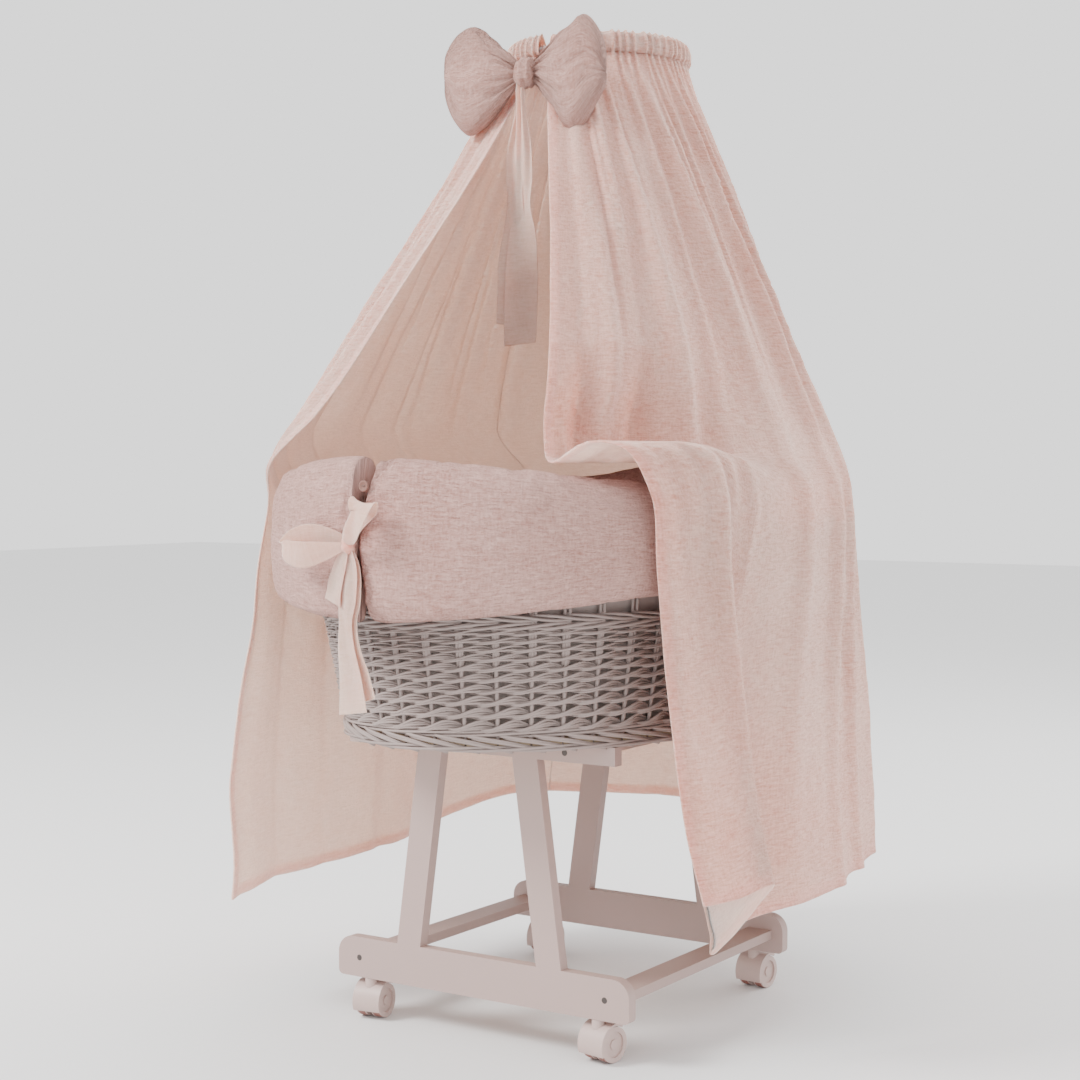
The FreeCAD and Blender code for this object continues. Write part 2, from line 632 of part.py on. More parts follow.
DRAPE_STEPS = 16
ring_outer = size("ring_radius + ring_wire + drape_thickness + 2")
drape = doc.addObject("Part::Feature", "drape_cloth")
drape_half_y = size("flap_half_y + drape_end_clear")
drape.Shape = Part.makeLoft([
    drape_section(ring_outer, ring_outer, size("ring_centre"), size("drape_top"),
                  size("drape_top_right"), size("drape_top_left")),
    drape_section(size("flap_half_x + drape_rim_clear"), drape_half_y, 0, size("drape_rim"),
                  size("drape_rim_right"), size("drape_rim_left")),
    drape_section(size("flap_half_x + drape_hem_clear"), drape_half_y, 0, size("drape_hem"),
                  size("drape_hem_right"), size("drape_hem_left"))],
    True, True)
keep(drape, "drape")

# The big bow is tied to the front of the ring. Its two stuffed loops lie along the
# ring's tangent there, and two flat tails hang from the knot into the opening.
for name, along, drop, half_width, half_depth, half_height in (
        ("bow_knot", 0, "0", "bow_knot_half", "bow_knot_half", "bow_knot_half + 7"),
        ("bow_loop_left", -1, "2", "bow_loop_half_x", "bow_loop_half_y", "bow_loop_half_z"),
        ("bow_loop_right", 1, "14", "bow_loop_half_x", "bow_loop_half_y", "bow_loop_half_z + 4")):
    pad = solid(
        "Ellipsoid", name + "_pad", Radius1=half_height, Radius2=half_width, Radius3=half_depth,
        x="bow_x + (%d) * bow_spread * cos(bow_turn * 1deg)" % along,
        y="bow_y + (%d) * bow_spread * sin(bow_turn * 1deg)" % along, z="bow_height - " + drop)
    keep(turn(pad, (0, 0, 1), size("bow_turn")), name)

neck = solid("Box", "bow_neck", Length="bow_neck_width", Width="bow_tail_depth", Height="bow_neck_length",
             x="bow_x - bow_neck_width / 2", y="bow_y - bow_tail_depth / 2",
             z="bow_height - bow_knot_half - bow_neck_length - 7")
bow_tail_pieces = [neck]
for number, shift in enumerate(("-48", "-2")):
    bow_tail_pieces.append(solid(
        "Box", "bow_tail_%d" % number, Length="bow_tail_width", Width="bow_tail_depth",
        Height="bow_tail_length", x="bow_x + " + shift, y="bow_y - bow_tail_depth / 2",
        z="bow_height - bow_knot_half - bow_neck_length - bow_tail_length"))
keep(fuse("bow_tail_pair", bow_tail_pieces), "bow_tails")

# ------------------------------------------------------------------------- export

doc.recompute()
for item in doc.Objects:
    if "Invalid" in item.State or "Error" in item.State:
        raise RuntimeError("%s failed: %s" % (item.Label, item.State))
for item in parts:
    if item.Shape.isNull() or not item.Shape.isValid() or not item.Shape.Solids:
        raise RuntimeError(item.Label + " has no valid solid")

os.makedirs("parts", exist_ok=True)
for item in parts:
    item.Shape.exportStep("parts/%s.step" % item.Label)
    print("%-32s %2d solid(s) %12.0f mm3" % (item.Label, len(item.Shape.Solids), item.Shape.Volume))
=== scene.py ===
"""Looks of a wicker bassinet: timber stand on castors, woven basket, padded flaps and a gathered canopy."""

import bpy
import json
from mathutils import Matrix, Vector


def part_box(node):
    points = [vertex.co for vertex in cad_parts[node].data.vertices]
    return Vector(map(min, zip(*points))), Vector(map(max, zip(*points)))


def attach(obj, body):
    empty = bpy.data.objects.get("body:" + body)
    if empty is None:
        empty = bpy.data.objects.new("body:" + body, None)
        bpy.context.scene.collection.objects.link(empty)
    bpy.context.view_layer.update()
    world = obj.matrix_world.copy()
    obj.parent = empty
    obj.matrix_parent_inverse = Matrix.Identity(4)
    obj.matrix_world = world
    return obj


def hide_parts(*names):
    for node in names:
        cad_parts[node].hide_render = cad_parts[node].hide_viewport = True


bl_info = {
    "name": "Bassinet on Stand",
    "version": (1, 0, 0),
    "blender": (4, 5, 0),
    "location": "View3D > Sidebar > Bassinet",
    "description": "Builds the cloth, wicker and finishes of a bassinet around its fixed frame",
    "category": "Object",
}

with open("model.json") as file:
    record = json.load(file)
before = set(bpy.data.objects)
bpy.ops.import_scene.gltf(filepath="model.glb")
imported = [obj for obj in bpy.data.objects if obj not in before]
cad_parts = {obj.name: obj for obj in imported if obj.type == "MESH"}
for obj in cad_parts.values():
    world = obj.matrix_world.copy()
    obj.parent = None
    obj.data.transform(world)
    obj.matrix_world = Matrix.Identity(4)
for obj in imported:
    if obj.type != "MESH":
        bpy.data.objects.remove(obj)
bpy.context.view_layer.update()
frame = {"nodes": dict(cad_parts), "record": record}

import json
import math

import bmesh
import bpy
import numpy as np
from bpy.props import FloatProperty, FloatVectorProperty, IntProperty, PointerProperty
from bpy.types import Operator, Panel, PropertyGroup

MM = 0.001
TAU = 2 * math.pi
CORNERS = ("front_left", "front_right", "back_left", "back_right")


def node_box(name):
    """Lowest and highest corners of a CAD node as two arrays."""
    low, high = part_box(name)
    return np.array(low, float), np.array(high, float)


# ------------------------------------------------------------------ smooth helpers


def ease(low, high, x):
    """0 below low, 1 above high, and 3t^2 - 2t^3 between."""
    t = np.clip((np.asarray(x, float) - low) / (high - low), 0, 1)
    return t * t * (3 - 2 * t)


def hump(middle, width, x):
    """A bell, exp of minus the squared distance from its middle over its width."""
    return np.exp(-((np.asarray(x, float) - middle) / width) ** 2)


def through(knots, values, x):
    """Catmull-Rom curve through values at increasing knots; values may have several columns."""
    knots = np.asarray(knots, float)
    values = np.asarray(values, float)
    x = np.clip(np.asarray(x, float), knots[0], knots[-1])
    flat = values.reshape(len(knots), -1)
    slope = np.empty_like(flat)
    slope[1:-1] = (flat[2:] - flat[:-2]) / (knots[2:] - knots[:-2])[:, None]
    slope[0] = (flat[1] - flat[0]) / (knots[1] - knots[0])
    slope[-1] = (flat[-1] - flat[-2]) / (knots[-1] - knots[-2])
    cell = np.clip(np.searchsorted(knots, x, side="right") - 1, 0, len(knots) - 2)
    span = knots[cell + 1] - knots[cell]
    t = ((x - knots[cell]) / span)[..., None]
    span = span[..., None]
    a, b = flat[cell], flat[cell + 1]
    result = ((2 * t ** 3 - 3 * t ** 2 + 1) * a + (t ** 3 - 2 * t ** 2 + t) * span * slope[cell]
              + (3 * t ** 2 - 2 * t ** 3) * b + (t ** 3 - t ** 2) * span * slope[cell + 1])
    return result.reshape(x.shape + values.shape[1:])


def wander(x, y, seed, waves=5, fine=3.0):
    """Smooth noise near -1 to 1: a sum of sines of x and y with seeded directions and phases."""
    rng = np.random.default_rng(seed)
    total = np.zeros(np.broadcast(x, y).shape)
    for _ in range(waves):
        kx, ky = rng.normal(0, fine, 2)
        total = total + np.sin(kx * x + ky * y + rng.uniform(0, TAU))
    return total / math.sqrt(waves)


def unit(vectors):
    """Vectors scaled to length one."""
    return vectors / np.maximum(np.linalg.norm(vectors, axis=-1, keepdims=True), 1e-12)


# ------------------------------------------------------------------- mesh builders


def mesh_piece(name, points, quads, material, uv=None):
    """A smooth mesh object at the origin from points, quads and an optional UV for each point."""
    mesh = bpy.data.meshes.new(name)
    points = np.ascontiguousarray(points.reshape(-1, 3), dtype=np.float32)
    quads = np.ascontiguousarray(quads.reshape(-1, 4), dtype=np.int32)
    mesh.vertices.add(len(points))
    mesh.vertices.foreach_set("co", points.ravel())
    mesh.loops.add(quads.size)
    mesh.loops.foreach_set("vertex_index", quads.ravel())
    mesh.polygons.add(len(quads))
    mesh.polygons.foreach_set("loop_start", np.arange(0, quads.size, 4, dtype=np.int32))
    if uv is not None:
        layer = mesh.uv_layers.new(name="UVMap")
        layer.data.foreach_set("uv", uv.reshape(-1, 2)[quads.ravel()].astype(np.float32).ravel())
    mesh.update(calc_edges=True)
    mesh.polygons.foreach_set("use_smooth", np.ones(len(quads), dtype=bool))
    mesh.materials.append(material)
    piece = bpy.data.objects.new(name, mesh)
    bpy.context.scene.collection.objects.link(piece)
    return piece


def grid_quads(rows, cols, around=False, along=False):
    """Quads of a grid, closed round its columns or its rows when asked."""
    index = np.arange(rows * cols).reshape(rows, cols)
    if around:
        index = np.concatenate([index, index[:, :1]], 1)
    if along:
        index = np.concatenate([index, index[:1]], 0)
    return np.stack([index[:-1, :-1], index[:-1, 1:], index[1:, 1:], index[1:, :-1]], -1).reshape(-1, 4)


def surface(name, points, material, uv=None, around=False, along=False):
    """A grid of points (rows, columns, 3) as one surface."""
    rows, cols = points.shape[:2]
    return mesh_piece(name, points, grid_quads(rows, cols, around, along), material, uv)


def cloth_uv(points):
    """UV in metres on a grid: distance along the middle row, and distance down the middle column."""
    middle_row = points[points.shape[0] // 2]
    middle_col = points[:, points.shape[1] // 2]
    across = np.concatenate([[0], np.cumsum(np.linalg.norm(np.diff(middle_row, axis=0), axis=1))])
    down = np.concatenate([[0], np.cumsum(np.linalg.norm(np.diff(middle_col, axis=0), axis=1))])
    return np.stack(np.broadcast_arrays(across[None, :], down[:, None]), -1)


def cap_quads(first, sides):
    """Quads that close one end ring of an even number of sides."""
    steps = np.arange(sides // 2 - 1)
    return first + np.stack([steps, steps + 1, sides - 2 - steps, sides - 1 - steps], -1)


def rods(name, paths, radius, material, sides=6, up=(0, 0, 1), closed=False):
    """Round rods along paths (rods, steps, 3): path + radius (cos a side + sin a over), one radius or one a rod."""
    paths = np.asarray(paths, float)
    count, steps = paths.shape[:2]
    radius = np.broadcast_to(np.asarray(radius, float), (count,))
    if closed:
        ahead = np.roll(paths, -1, 1) - np.roll(paths, 1, 1)
    else:
        ahead = np.gradient(paths, axis=1)
    ahead = unit(ahead)
    over = np.broadcast_to(np.asarray(up, float), ahead.shape)
    side = unit(np.cross(ahead, over))
    over = np.cross(side, ahead)
    angle = np.arange(sides) * TAU / sides
    ring = (np.cos(angle)[:, None] * side[:, :, None, :] + np.sin(angle)[:, None] * over[:, :, None, :])
    points = paths[:, :, None, :] + radius[:, None, None, None] * ring
    one = grid_quads(steps, sides, around=True, along=closed)
    if not closed:
        ends = [cap_quads(0, sides)[:, ::-1], cap_quads((steps - 1) * sides, sides)]
        one = np.concatenate([one] + ends)
    quads = (one[None] + (np.arange(count) * steps * sides)[:, None, None]).reshape(-1, 4)[:, ::-1]
    length = np.concatenate([np.zeros((count, 1)), np.cumsum(np.linalg.norm(np.diff(paths, axis=1), axis=2), 1)], 1)
    turn = np.broadcast_to(np.arange(sides) / sides, (count, steps, sides))
    shift = np.broadcast_to(np.arange(count)[:, None, None] * 0.37, (count, steps, sides))
    uv = np.stack([np.broadcast_to(length[:, :, None], turn.shape), turn + shift], -1)
    return mesh_piece(name, points, quads, material, uv)


def weld(piece, distance=0.00002):
    """Merge doubled points and turn every face outwards."""
    mesh = bmesh.new()
    mesh.from_mesh(piece.data)
    bmesh.ops.remove_doubles(mesh, verts=mesh.verts, dist=distance)
    bmesh.ops.recalc_face_normals(mesh, faces=mesh.faces)
    mesh.to_mesh(piece.data)
    mesh.free()
    return piece


def settle(piece, fixed, grow, pressure, limit):
    """Buckle a stuffed piece's cloth: 20 frames of cloth a little larger than its filling, with air pressure inside.

    The fixed points stay, and every other point stays within the limit of where it began."""
    mesh = piece.data
    start = np.empty(len(mesh.vertices) * 3, dtype=np.float32)
    mesh.vertices.foreach_get("co", start)
    start = start.reshape(-1, 3)
    held = piece.vertex_groups.new(name="held")
    held.add([int(i) for i in np.nonzero(fixed(start))[0]], 1.0, "REPLACE")
    cloth = piece.modifiers.new("cloth", "CLOTH")
    cloth.settings.quality = 5
    cloth.settings.mass = 0.15
    cloth.settings.tension_stiffness = 15
    cloth.settings.compression_stiffness = 15
    cloth.settings.shear_stiffness = 5
    cloth.settings.bending_stiffness = 0.02
    cloth.settings.use_pressure = True
    cloth.settings.uniform_pressure_force = pressure
    cloth.settings.shrink_min = -grow
    cloth.settings.shrink_max = -grow
    cloth.settings.effector_weights.gravity = 0
    cloth.settings.vertex_group_mass = "held"
    cloth.point_cache.frame_start = 1
    cloth.point_cache.frame_end = 20
    scene = bpy.context.scene
    for frame_number in range(1, 21):
        scene.frame_set(frame_number)
    settled = piece.evaluated_get(bpy.context.evaluated_depsgraph_get()).to_mesh()
    moved = np.empty(len(mesh.vertices) * 3, dtype=np.float32)
    settled.vertices.foreach_get("co", moved)
    shift = moved.reshape(-1, 3) - start
    distance = np.linalg.norm(shift, axis=1, keepdims=True)
    shift = shift * np.minimum(1, limit / np.maximum(distance, 1e-9))
    piece.modifiers.remove(cloth)
    scene.frame_set(1)
    mesh.vertices.foreach_set("co", (start + shift).ravel())
    mesh.update()


# ------------------------------------------------------------------------- shaders


def new_group(name, inputs, outputs):
    """An empty shader node group; inputs are (name, kind, default) and outputs (name, kind)."""
    tree = bpy.data.node_groups.new(name, "ShaderNodeTree")
    for label, kind, default in inputs:
        socket = tree.interface.new_socket(name=label, in_out="INPUT", socket_type="NodeSocket" + kind)
        if default is not None:
            socket.default_value = default
    for label, kind in outputs:
        tree.interface.new_socket(name=label, in_out="OUTPUT", socket_type="NodeSocket" + kind)
    return tree, tree.nodes.new("NodeGroupInput"), tree.nodes.new("NodeGroupOutput")


def node(tree, kind, settings=None, **values):
    """A node with its settings and input values; a value that is a socket is linked."""
    made = tree.nodes.new("ShaderNode" + kind)
    for key, value in (settings or {}).items():
        setattr(made, key, value)
    for key, value in values.items():
        label = key.replace("_", " ")
        socket = made.inputs[int(label[1:])] if label[0] == "i" and label[1:].isdigit() else made.inputs[label]
        if isinstance(value, bpy.types.NodeSocket):
            tree.links.new(value, socket)
        else:
            socket.default_value = value
    return made


def maths(tree, operation, first, second=0.0, third=0.0):
    """The result of a Math node."""
    return node(tree, "Math", {"operation": operation}, i0=first, i1=second, i2=third).outputs[0]


def blend_colours(tree, mask, first, second, kind="MIX"):
    """The result of a colour Mix node."""
    mix = tree.nodes.new("ShaderNodeMix")
    mix.data_type = "RGBA"
    mix.blend_type = kind
    for socket, value in ((mix.inputs[0], mask), (mix.inputs[6], first), (mix.inputs[7], second)):
        if isinstance(value, bpy.types.NodeSocket):
            tree.links.new(value, socket)
        else:
            socket.default_value = value
    return mix.outputs[2]


def scaled(tree, vector, scale):
    """A vector stretched along its axes."""
    return node(tree, "Mapping", Vector=vector, Scale=scale).outputs[0]


def gauze_group():
    """Crinkled double gauze: long low wrinkles across the cloth, a square tuft grid, a fine weave and soft blotches;
    its colour carries painted shade, darker and more saturated in the hollows of the wrinkles.
    """
    tree, given, result = new_group("Crinkled Gauze", [
        ("Vector", "Vector", None), ("Colour", "Color", (0.8, 0.6, 0.57, 1)), ("Shade", "Float", 0.12),
        ("Wrinkle", "Float", 0.7), ("Weave", "Float", 0.25)],
        [("Colour", "Color"), ("Height", "Float"), ("Roughness", "Float")])
    vector = given.outputs["Vector"]
    long_wrinkle = node(tree, "TexNoise", Vector=scaled(tree, vector, (62, 285, 1)), Scale=1.0, Detail=3.0,
                        Roughness=0.6, Distortion=0.5).outputs["Fac"]
    short_wrinkle = node(tree, "TexNoise", Vector=scaled(tree, vector, (250, 560, 1)), Scale=1.0, Detail=2.0,
                         Roughness=0.55).outputs["Fac"]
    upright = node(tree, "TexNoise", Vector=scaled(tree, vector, (340, 80, 1)), Scale=1.0, Detail=2.0,
                   Distortion=0.4).outputs["Fac"]
    tufts = node(tree, "TexVoronoi", {"feature": "F1"}, Vector=scaled(tree, vector, (210, 250, 1)), Scale=1.0,
                 Randomness=0.6).outputs["Distance"]
    warp = node(tree, "TexWave", {"bands_direction": "X"}, Vector=vector, Scale=210.0, Distortion=1.2,
                Detail=1.0).outputs["Fac"]
    weft = node(tree, "TexWave", {"bands_direction": "Y"}, Vector=vector, Scale=210.0, Distortion=1.2,
                Detail=1.0).outputs["Fac"]
    weave = maths(tree, "MULTIPLY", warp, weft)
    wrinkles = maths(tree, "ADD", maths(tree, "MULTIPLY", long_wrinkle, 1.0),
                     maths(tree, "MULTIPLY", short_wrinkle, 0.45))
    wrinkles = maths(tree, "ADD", wrinkles, maths(tree, "MULTIPLY", upright, 0.5))
    wrinkles = maths(tree, "ADD", wrinkles, maths(tree, "MULTIPLY", tufts, 0.35))
    height = maths(tree, "ADD", maths(tree, "MULTIPLY", wrinkles, given.outputs["Wrinkle"]),
                   maths(tree, "MULTIPLY", weave, given.outputs["Weave"]))
    tree.links.new(height, result.inputs["Height"])
    blotch = node(tree, "TexNoise", Vector=vector, Scale=7.0, Detail=3.0, Roughness=0.5).outputs["Fac"]
    wrinkle_light_and_blotch = maths(tree, "ADD", maths(tree, "MULTIPLY", long_wrinkle, 0.45),
                 maths(tree, "ADD", maths(tree, "MULTIPLY", short_wrinkle, 0.2),
                       maths(tree, "ADD", maths(tree, "MULTIPLY", blotch, 0.15),
                             maths(tree, "MULTIPLY", upright, 0.2))))
    # Painted shade: the colour turns to a darker, more saturated copy where the wrinkles are low, with some random
    # blotching mixed in.
    depth = maths(tree, "MULTIPLY", maths(tree, "SUBTRACT", 0.62, wrinkle_light_and_blotch), given.outputs["Shade"])
    shadow = node(tree, "HueSaturation", Saturation=1.5, Value=0.55, Color=given.outputs["Colour"]).outputs[0]
    mask = node(tree, "Clamp", Value=maths(tree, "MULTIPLY", depth, 4.0)).outputs[0]
    tree.links.new(blend_colours(tree, mask, given.outputs["Colour"], shadow), result.inputs["Colour"])
    rough = maths(tree, "ADD", 0.78, maths(tree, "MULTIPLY", short_wrinkle, 0.2))
    tree.links.new(rough, result.inputs["Roughness"])
    return tree


def paint_group():
    """Painted timber: faint raised grain under the paint, brush lines, thin patches and rubbed dust."""
    tree, given, result = new_group("Painted Grain", [
        ("Vector", "Vector", None), ("Paint", "Color", (0.8, 0.75, 0.72, 1)),
        ("Under", "Color", (0.5, 0.42, 0.38, 1)), ("Thin", "Float", 0.25), ("Grain", "Float", 1.0)],
        [("Colour", "Color"), ("Height", "Float"), ("Roughness", "Float")])
    vector = given.outputs["Vector"]
    grain = node(tree, "TexNoise", Vector=scaled(tree, vector, (4, 90, 90)), Scale=1.0, Detail=5.0, Roughness=0.62,
                 Distortion=0.6).outputs["Fac"]
    brush = node(tree, "TexNoise", Vector=scaled(tree, vector, (7, 420, 420)), Scale=1.0, Detail=2.0).outputs["Fac"]
    patch = node(tree, "TexNoise", Vector=vector, Scale=9.0, Detail=4.0, Roughness=0.6).outputs["Fac"]
    thin = maths(tree, "MULTIPLY", maths(tree, "MULTIPLY", patch, grain), given.outputs["Thin"])
    mask = node(tree, "Clamp", Value=thin).outputs[0]
    tree.links.new(blend_colours(tree, mask, given.outputs["Paint"], given.outputs["Under"]), result.inputs["Colour"])
    height = maths(tree, "MULTIPLY", maths(tree, "ADD", maths(tree, "MULTIPLY", grain, 0.7),
                                           maths(tree, "MULTIPLY", brush, 0.4)), given.outputs["Grain"])
    tree.links.new(height, result.inputs["Height"])
    rough = maths(tree, "ADD", 0.38, maths(tree, "MULTIPLY", patch, 0.22))
    tree.links.new(rough, result.inputs["Roughness"])
    return tree


def scuff_group():
    """Handling marks on smooth parts: soft mottling, fine pitting and duller scuffs."""
    tree, given, result = new_group("Light Scuffs", [
        ("Vector", "Vector", None), ("Colour", "Color", (0.8, 0.8, 0.8, 1)), ("Amount", "Float", 0.3),
        ("Gloss", "Float", 0.35)],
        [("Colour", "Color"), ("Height", "Float"), ("Roughness", "Float")])
    vector = given.outputs["Vector"]
    cloud = node(tree, "TexNoise", Vector=vector, Scale=60.0, Detail=4.0, Roughness=0.6).outputs["Fac"]
    pits = node(tree, "TexNoise", Vector=vector, Scale=1400.0, Detail=1.0).outputs["Fac"]
    marks = node(tree, "TexNoise", Vector=scaled(tree, vector, (500, 60, 220)), Scale=1.0, Detail=3.0,
                 Distortion=0.8).outputs["Fac"]
    worn = maths(tree, "MULTIPLY", maths(tree, "POWER", marks, 3.0), given.outputs["Amount"])
    darker = node(tree, "HueSaturation", Value=0.72, Color=given.outputs["Colour"]).outputs[0]
    mask = node(tree, "Clamp", Value=maths(tree, "ADD", worn, maths(tree, "MULTIPLY", cloud, 0.12))).outputs[0]
    tree.links.new(blend_colours(tree, mask, given.outputs["Colour"], darker), result.inputs["Colour"])
    tree.links.new(maths(tree, "ADD", maths(tree, "MULTIPLY", pits, 0.3), worn), result.inputs["Height"])
    rough = maths(tree, "ADD", given.outputs["Gloss"], maths(tree, "MULTIPLY", marks, 0.2))
    tree.links.new(rough, result.inputs["Roughness"])
    return tree


GROUPS = {}


def effect(tree, name, build, **values):
    """One of the shared effects placed in a material with its own values."""
    if name not in GROUPS:
        GROUPS[name] = build()
    used = tree.nodes.new("ShaderNodeGroup")
    used.node_tree = GROUPS[name]
    for key, value in values.items():
        if isinstance(value, bpy.types.NodeSocket):
            tree.links.new(value, used.inputs[key])
        else:
            used.inputs[key].default_value = value
    return used


def finish_material(name, build, bump=0.3, distance=0.001, **constants):
    """A Principled material fed by an effect's colour, roughness and height; constants go on its own sockets."""
    material = bpy.data.materials.new(name)
    material.use_nodes = True
    tree = material.node_tree
    shader = tree.nodes["Principled BSDF"]
    for key, value in constants.items():
        shader.inputs[key.replace("_", " ")].default_value = value
    used = build(tree)
    tree.links.new(used.outputs["Colour"], shader.inputs["Base Color"])
    tree.links.new(used.outputs["Roughness"], shader.inputs["Roughness"])
    relief = node(tree, "Bump", Strength=bump, Distance=distance, Height=used.outputs["Height"])
    tree.links.new(relief.outputs[0], shader.inputs["Normal"])
    return material


def from_uv(tree):
    return node(tree, "TexCoord").outputs["UV"]


def from_object(tree, turn=(0, 0, 0)):
    place = node(tree, "TexCoord").outputs["Object"]
    return node(tree, "Mapping", Vector=place, Rotation=turn).outputs[0]


def gauze(name, colour, shade=0.5, wrinkle=0.8, weave=0.25, bump=0.6, distance=0.0012, **constants):
    def build(tree):
        return effect(tree, "gauze", gauze_group, Vector=from_uv(tree), Colour=(*colour, 1), Shade=shade,
                      Wrinkle=wrinkle, Weave=weave)
    return finish_material(name, build, bump, distance, **constants)


def painted(name, colour, under, thin, turn=(0, 0, 0), uv=False, bump=0.25, **constants):
    def build(tree):
        vector = from_uv(tree) if uv else from_object(tree, turn)
        return effect(tree, "paint", paint_group, Vector=vector, Paint=(*colour, 1), Under=(*under, 1), Thin=thin)
    return finish_material(name, build, bump, 0.0006, **constants)


def smooth(name, colour, gloss, amount=0.3, bump=0.12, **constants):
    def build(tree):
        return effect(tree, "scuffs", scuff_group, Vector=from_object(tree), Colour=(*colour, 1), Amount=amount,
                      Gloss=gloss)
    return finish_material(name, build, bump, 0.0003, **constants)


MATERIALS = {}


def make_materials(looks):
    """Every material of the object, from the colours in the panel."""
    cloth = dict(Sheen_Weight=0.12, Sheen_Roughness=0.6, Specular_IOR_Level=0.15)
    drape_colour = tuple(looks.drape_colour)
    flap_colour = tuple(looks.flap_colour)
    paint = tuple(looks.paint_colour)
    wicker = tuple(looks.wicker_colour)
    under = (0.34, 0.26, 0.22)
    quarter = math.pi / 2
    MATERIALS.update({
        "drape": gauze("Drape Muslin", drape_colour, shade=0.7, bump=0.9, distance=0.0045, Subsurface_Weight=1.0,
                       Subsurface_Radius=(0.006, 0.0045, 0.004), Subsurface_Scale=1.0, **cloth),
        # Painted light: the drape's inner side is a lighter copy of its muslin, standing for light shining through the
        # cloth.
        "drape_inside_glow": gauze("Drape Muslin Inside Painted Glow", tuple(looks.inside_glow_colour), shade=0.35, bump=0.6, distance=0.003,
                              Subsurface_Weight=1.0, Subsurface_Radius=(0.006, 0.005, 0.0045), Subsurface_Scale=1.0,
                              **cloth),
        "flap": gauze("Flap Muslin", flap_colour, shade=0.9, wrinkle=1.0, bump=1.0, distance=0.0055, **cloth),
        "bow": gauze("Bow Muslin", tuple(looks.bow_colour), shade=0.8, wrinkle=0.9, bump=1.0, distance=0.004, **cloth),
        "ribbon": gauze("Ribbon Gauze", tuple(looks.ribbon_colour), shade=0.3, wrinkle=0.3, weave=0.6, bump=0.5,
                        distance=0.0012, Alpha=0.86, Subsurface_Weight=1.0, Subsurface_Radius=(0.005, 0.004, 0.0035),
                        Subsurface_Scale=1.0, **cloth),
        "liner": gauze("Liner Cotton", (0.47, 0.395, 0.37), shade=0.15, wrinkle=0.3, weave=0.4, bump=0.3, **cloth),
        "mattress": gauze("Mattress Cotton", (0.80, 0.74, 0.72), shade=0.15, wrinkle=0.4, weave=0.4, bump=0.3, **cloth),
        "paint_x": painted("Painted Timber Along X", paint, under, 0.16),
        "paint_y": painted("Painted Timber Along Y", paint, under, 0.16, turn=(0, 0, quarter)),
        "paint_z": painted("Painted Timber Along Z", paint, under, 0.16, turn=(0, quarter, 0)),
        "wicker": painted("Painted Wicker", wicker, (0.30, 0.24, 0.21), 0.55, uv=True, bump=0.5),
        "plywood": painted("Birch Plywood", (0.55, 0.42, 0.28), (0.36, 0.24, 0.14), 0.6, turn=(0, 0, quarter)),
        "castor": smooth("Castor Plastic", tuple(looks.castor_colour), 0.34),
        "tread": smooth("Castor Tread", (0.26, 0.11, 0.09), 0.5, amount=0.6),
        "steel": smooth("Bright Steel", (0.55, 0.55, 0.56), 0.25, Metallic=1.0),
        "screw": smooth("Blackened Screw And Hole Shade", (0.10, 0.085, 0.08), 0.4, Metallic=0.8),
        "enamel": smooth("White Enamel", (0.80, 0.77, 0.76), 0.2, Coat_Weight=0.4),
        "button": smooth("Flap Button", (0.23, 0.12, 0.095), 0.6, amount=0.5, Specular_IOR_Level=0.3),
    })


def carry_over(name, material):
    """Give a CAD node that stays in view its finished material."""
    shown = frame["nodes"][name]
    for slot in shown.material_slots:
        slot.material = material
    if not shown.material_slots:
        shown.data.materials.append(material)


# --------------------------------------------------------------- the drape's shape
# Sizes in millimetres. At each height the drape follows an oval: half-width, half-length, centre
# and squareness. Angles start at +X and turn towards +Y.
OVAL_Z = (100, 211, 463, 619, 760, 806, 845, 946, 1101, 1257, 1380, 1454, 1480)
OVAL_A = (404, 404, 404, 402, 400, 398, 384, 336, 271, 207, 158, 131, 128)
OVAL_B = (520, 520, 520, 520, 520, 520, 516, 446, 346, 246, 172, 131, 128)
OVAL_C = (0, 0, 0, 0, 0, 0, 0, 17, 39, 62, 78, 87, 87)
OVAL_N = (2.43, 2.43, 2.25, 2.1, 2, 2, 2, 2, 2, 2, 2, 2, 2)

RIGHT_EDGE = np.array([(190, -26), (243, -28), (347, -31.3), (520, -33.9), (703, -35.4), (753, -36.2),
                       (775, -38.5), (803, -42), (840, -50), (873, -52.5), (988, -56.2), (1052, -58),
                       (1171, -63.1), (1306, -73.3), (1455, -90)], float)
LEFT_EDGE = np.array([(160, 212), (500, 213), (740, 214), (775, 217), (800, 224), (826, 233), (860, 243),
                      (898, 249), (1134, 254), (1346, 259), (1455, 263)], float)
# How far the left edge stands out sideways, measured along LEFT_OUT from the middle of the object.
LEFT_REACH = np.array([(160, 514), (226, 511), (334, 517), (395, 511), (486, 499), (592, 478), (684, 467),
                       (775, 447), (826, 430)], float)
LEFT_OUT = np.array([-0.835, -0.551])
# Height of the hem at each share of the cloth from its right edge to its left edge.
HEM = np.array([(0, 243), (0.025, 246), (0.05, 256), (0.062, 232), (0.082, 168), (0.10, 172), (0.125, 200), (0.16, 210),
                (0.25, 214), (0.405, 226), (0.546, 240), (0.621, 238), (0.704, 246), (0.758, 222), (0.808, 200),
                (0.867, 194), (0.912, 182), (0.954, 180), (1, 168)], float)
# The front strip of the right curtain lies over the cloth behind it: (share, turn in degrees, outward swing).
LAPPED = np.array([(0, 0, 4), (0.025, 1, 14), (0.05, 2, 24), (0.062, -4, 18), (0.082, -15, -20), (0.10, -20, -26),
                   (0.125, -19, -20), (0.16, -14, -4), (0.25, -5, 2), (0.35, 0, 0), (1, 0, 0)], float)
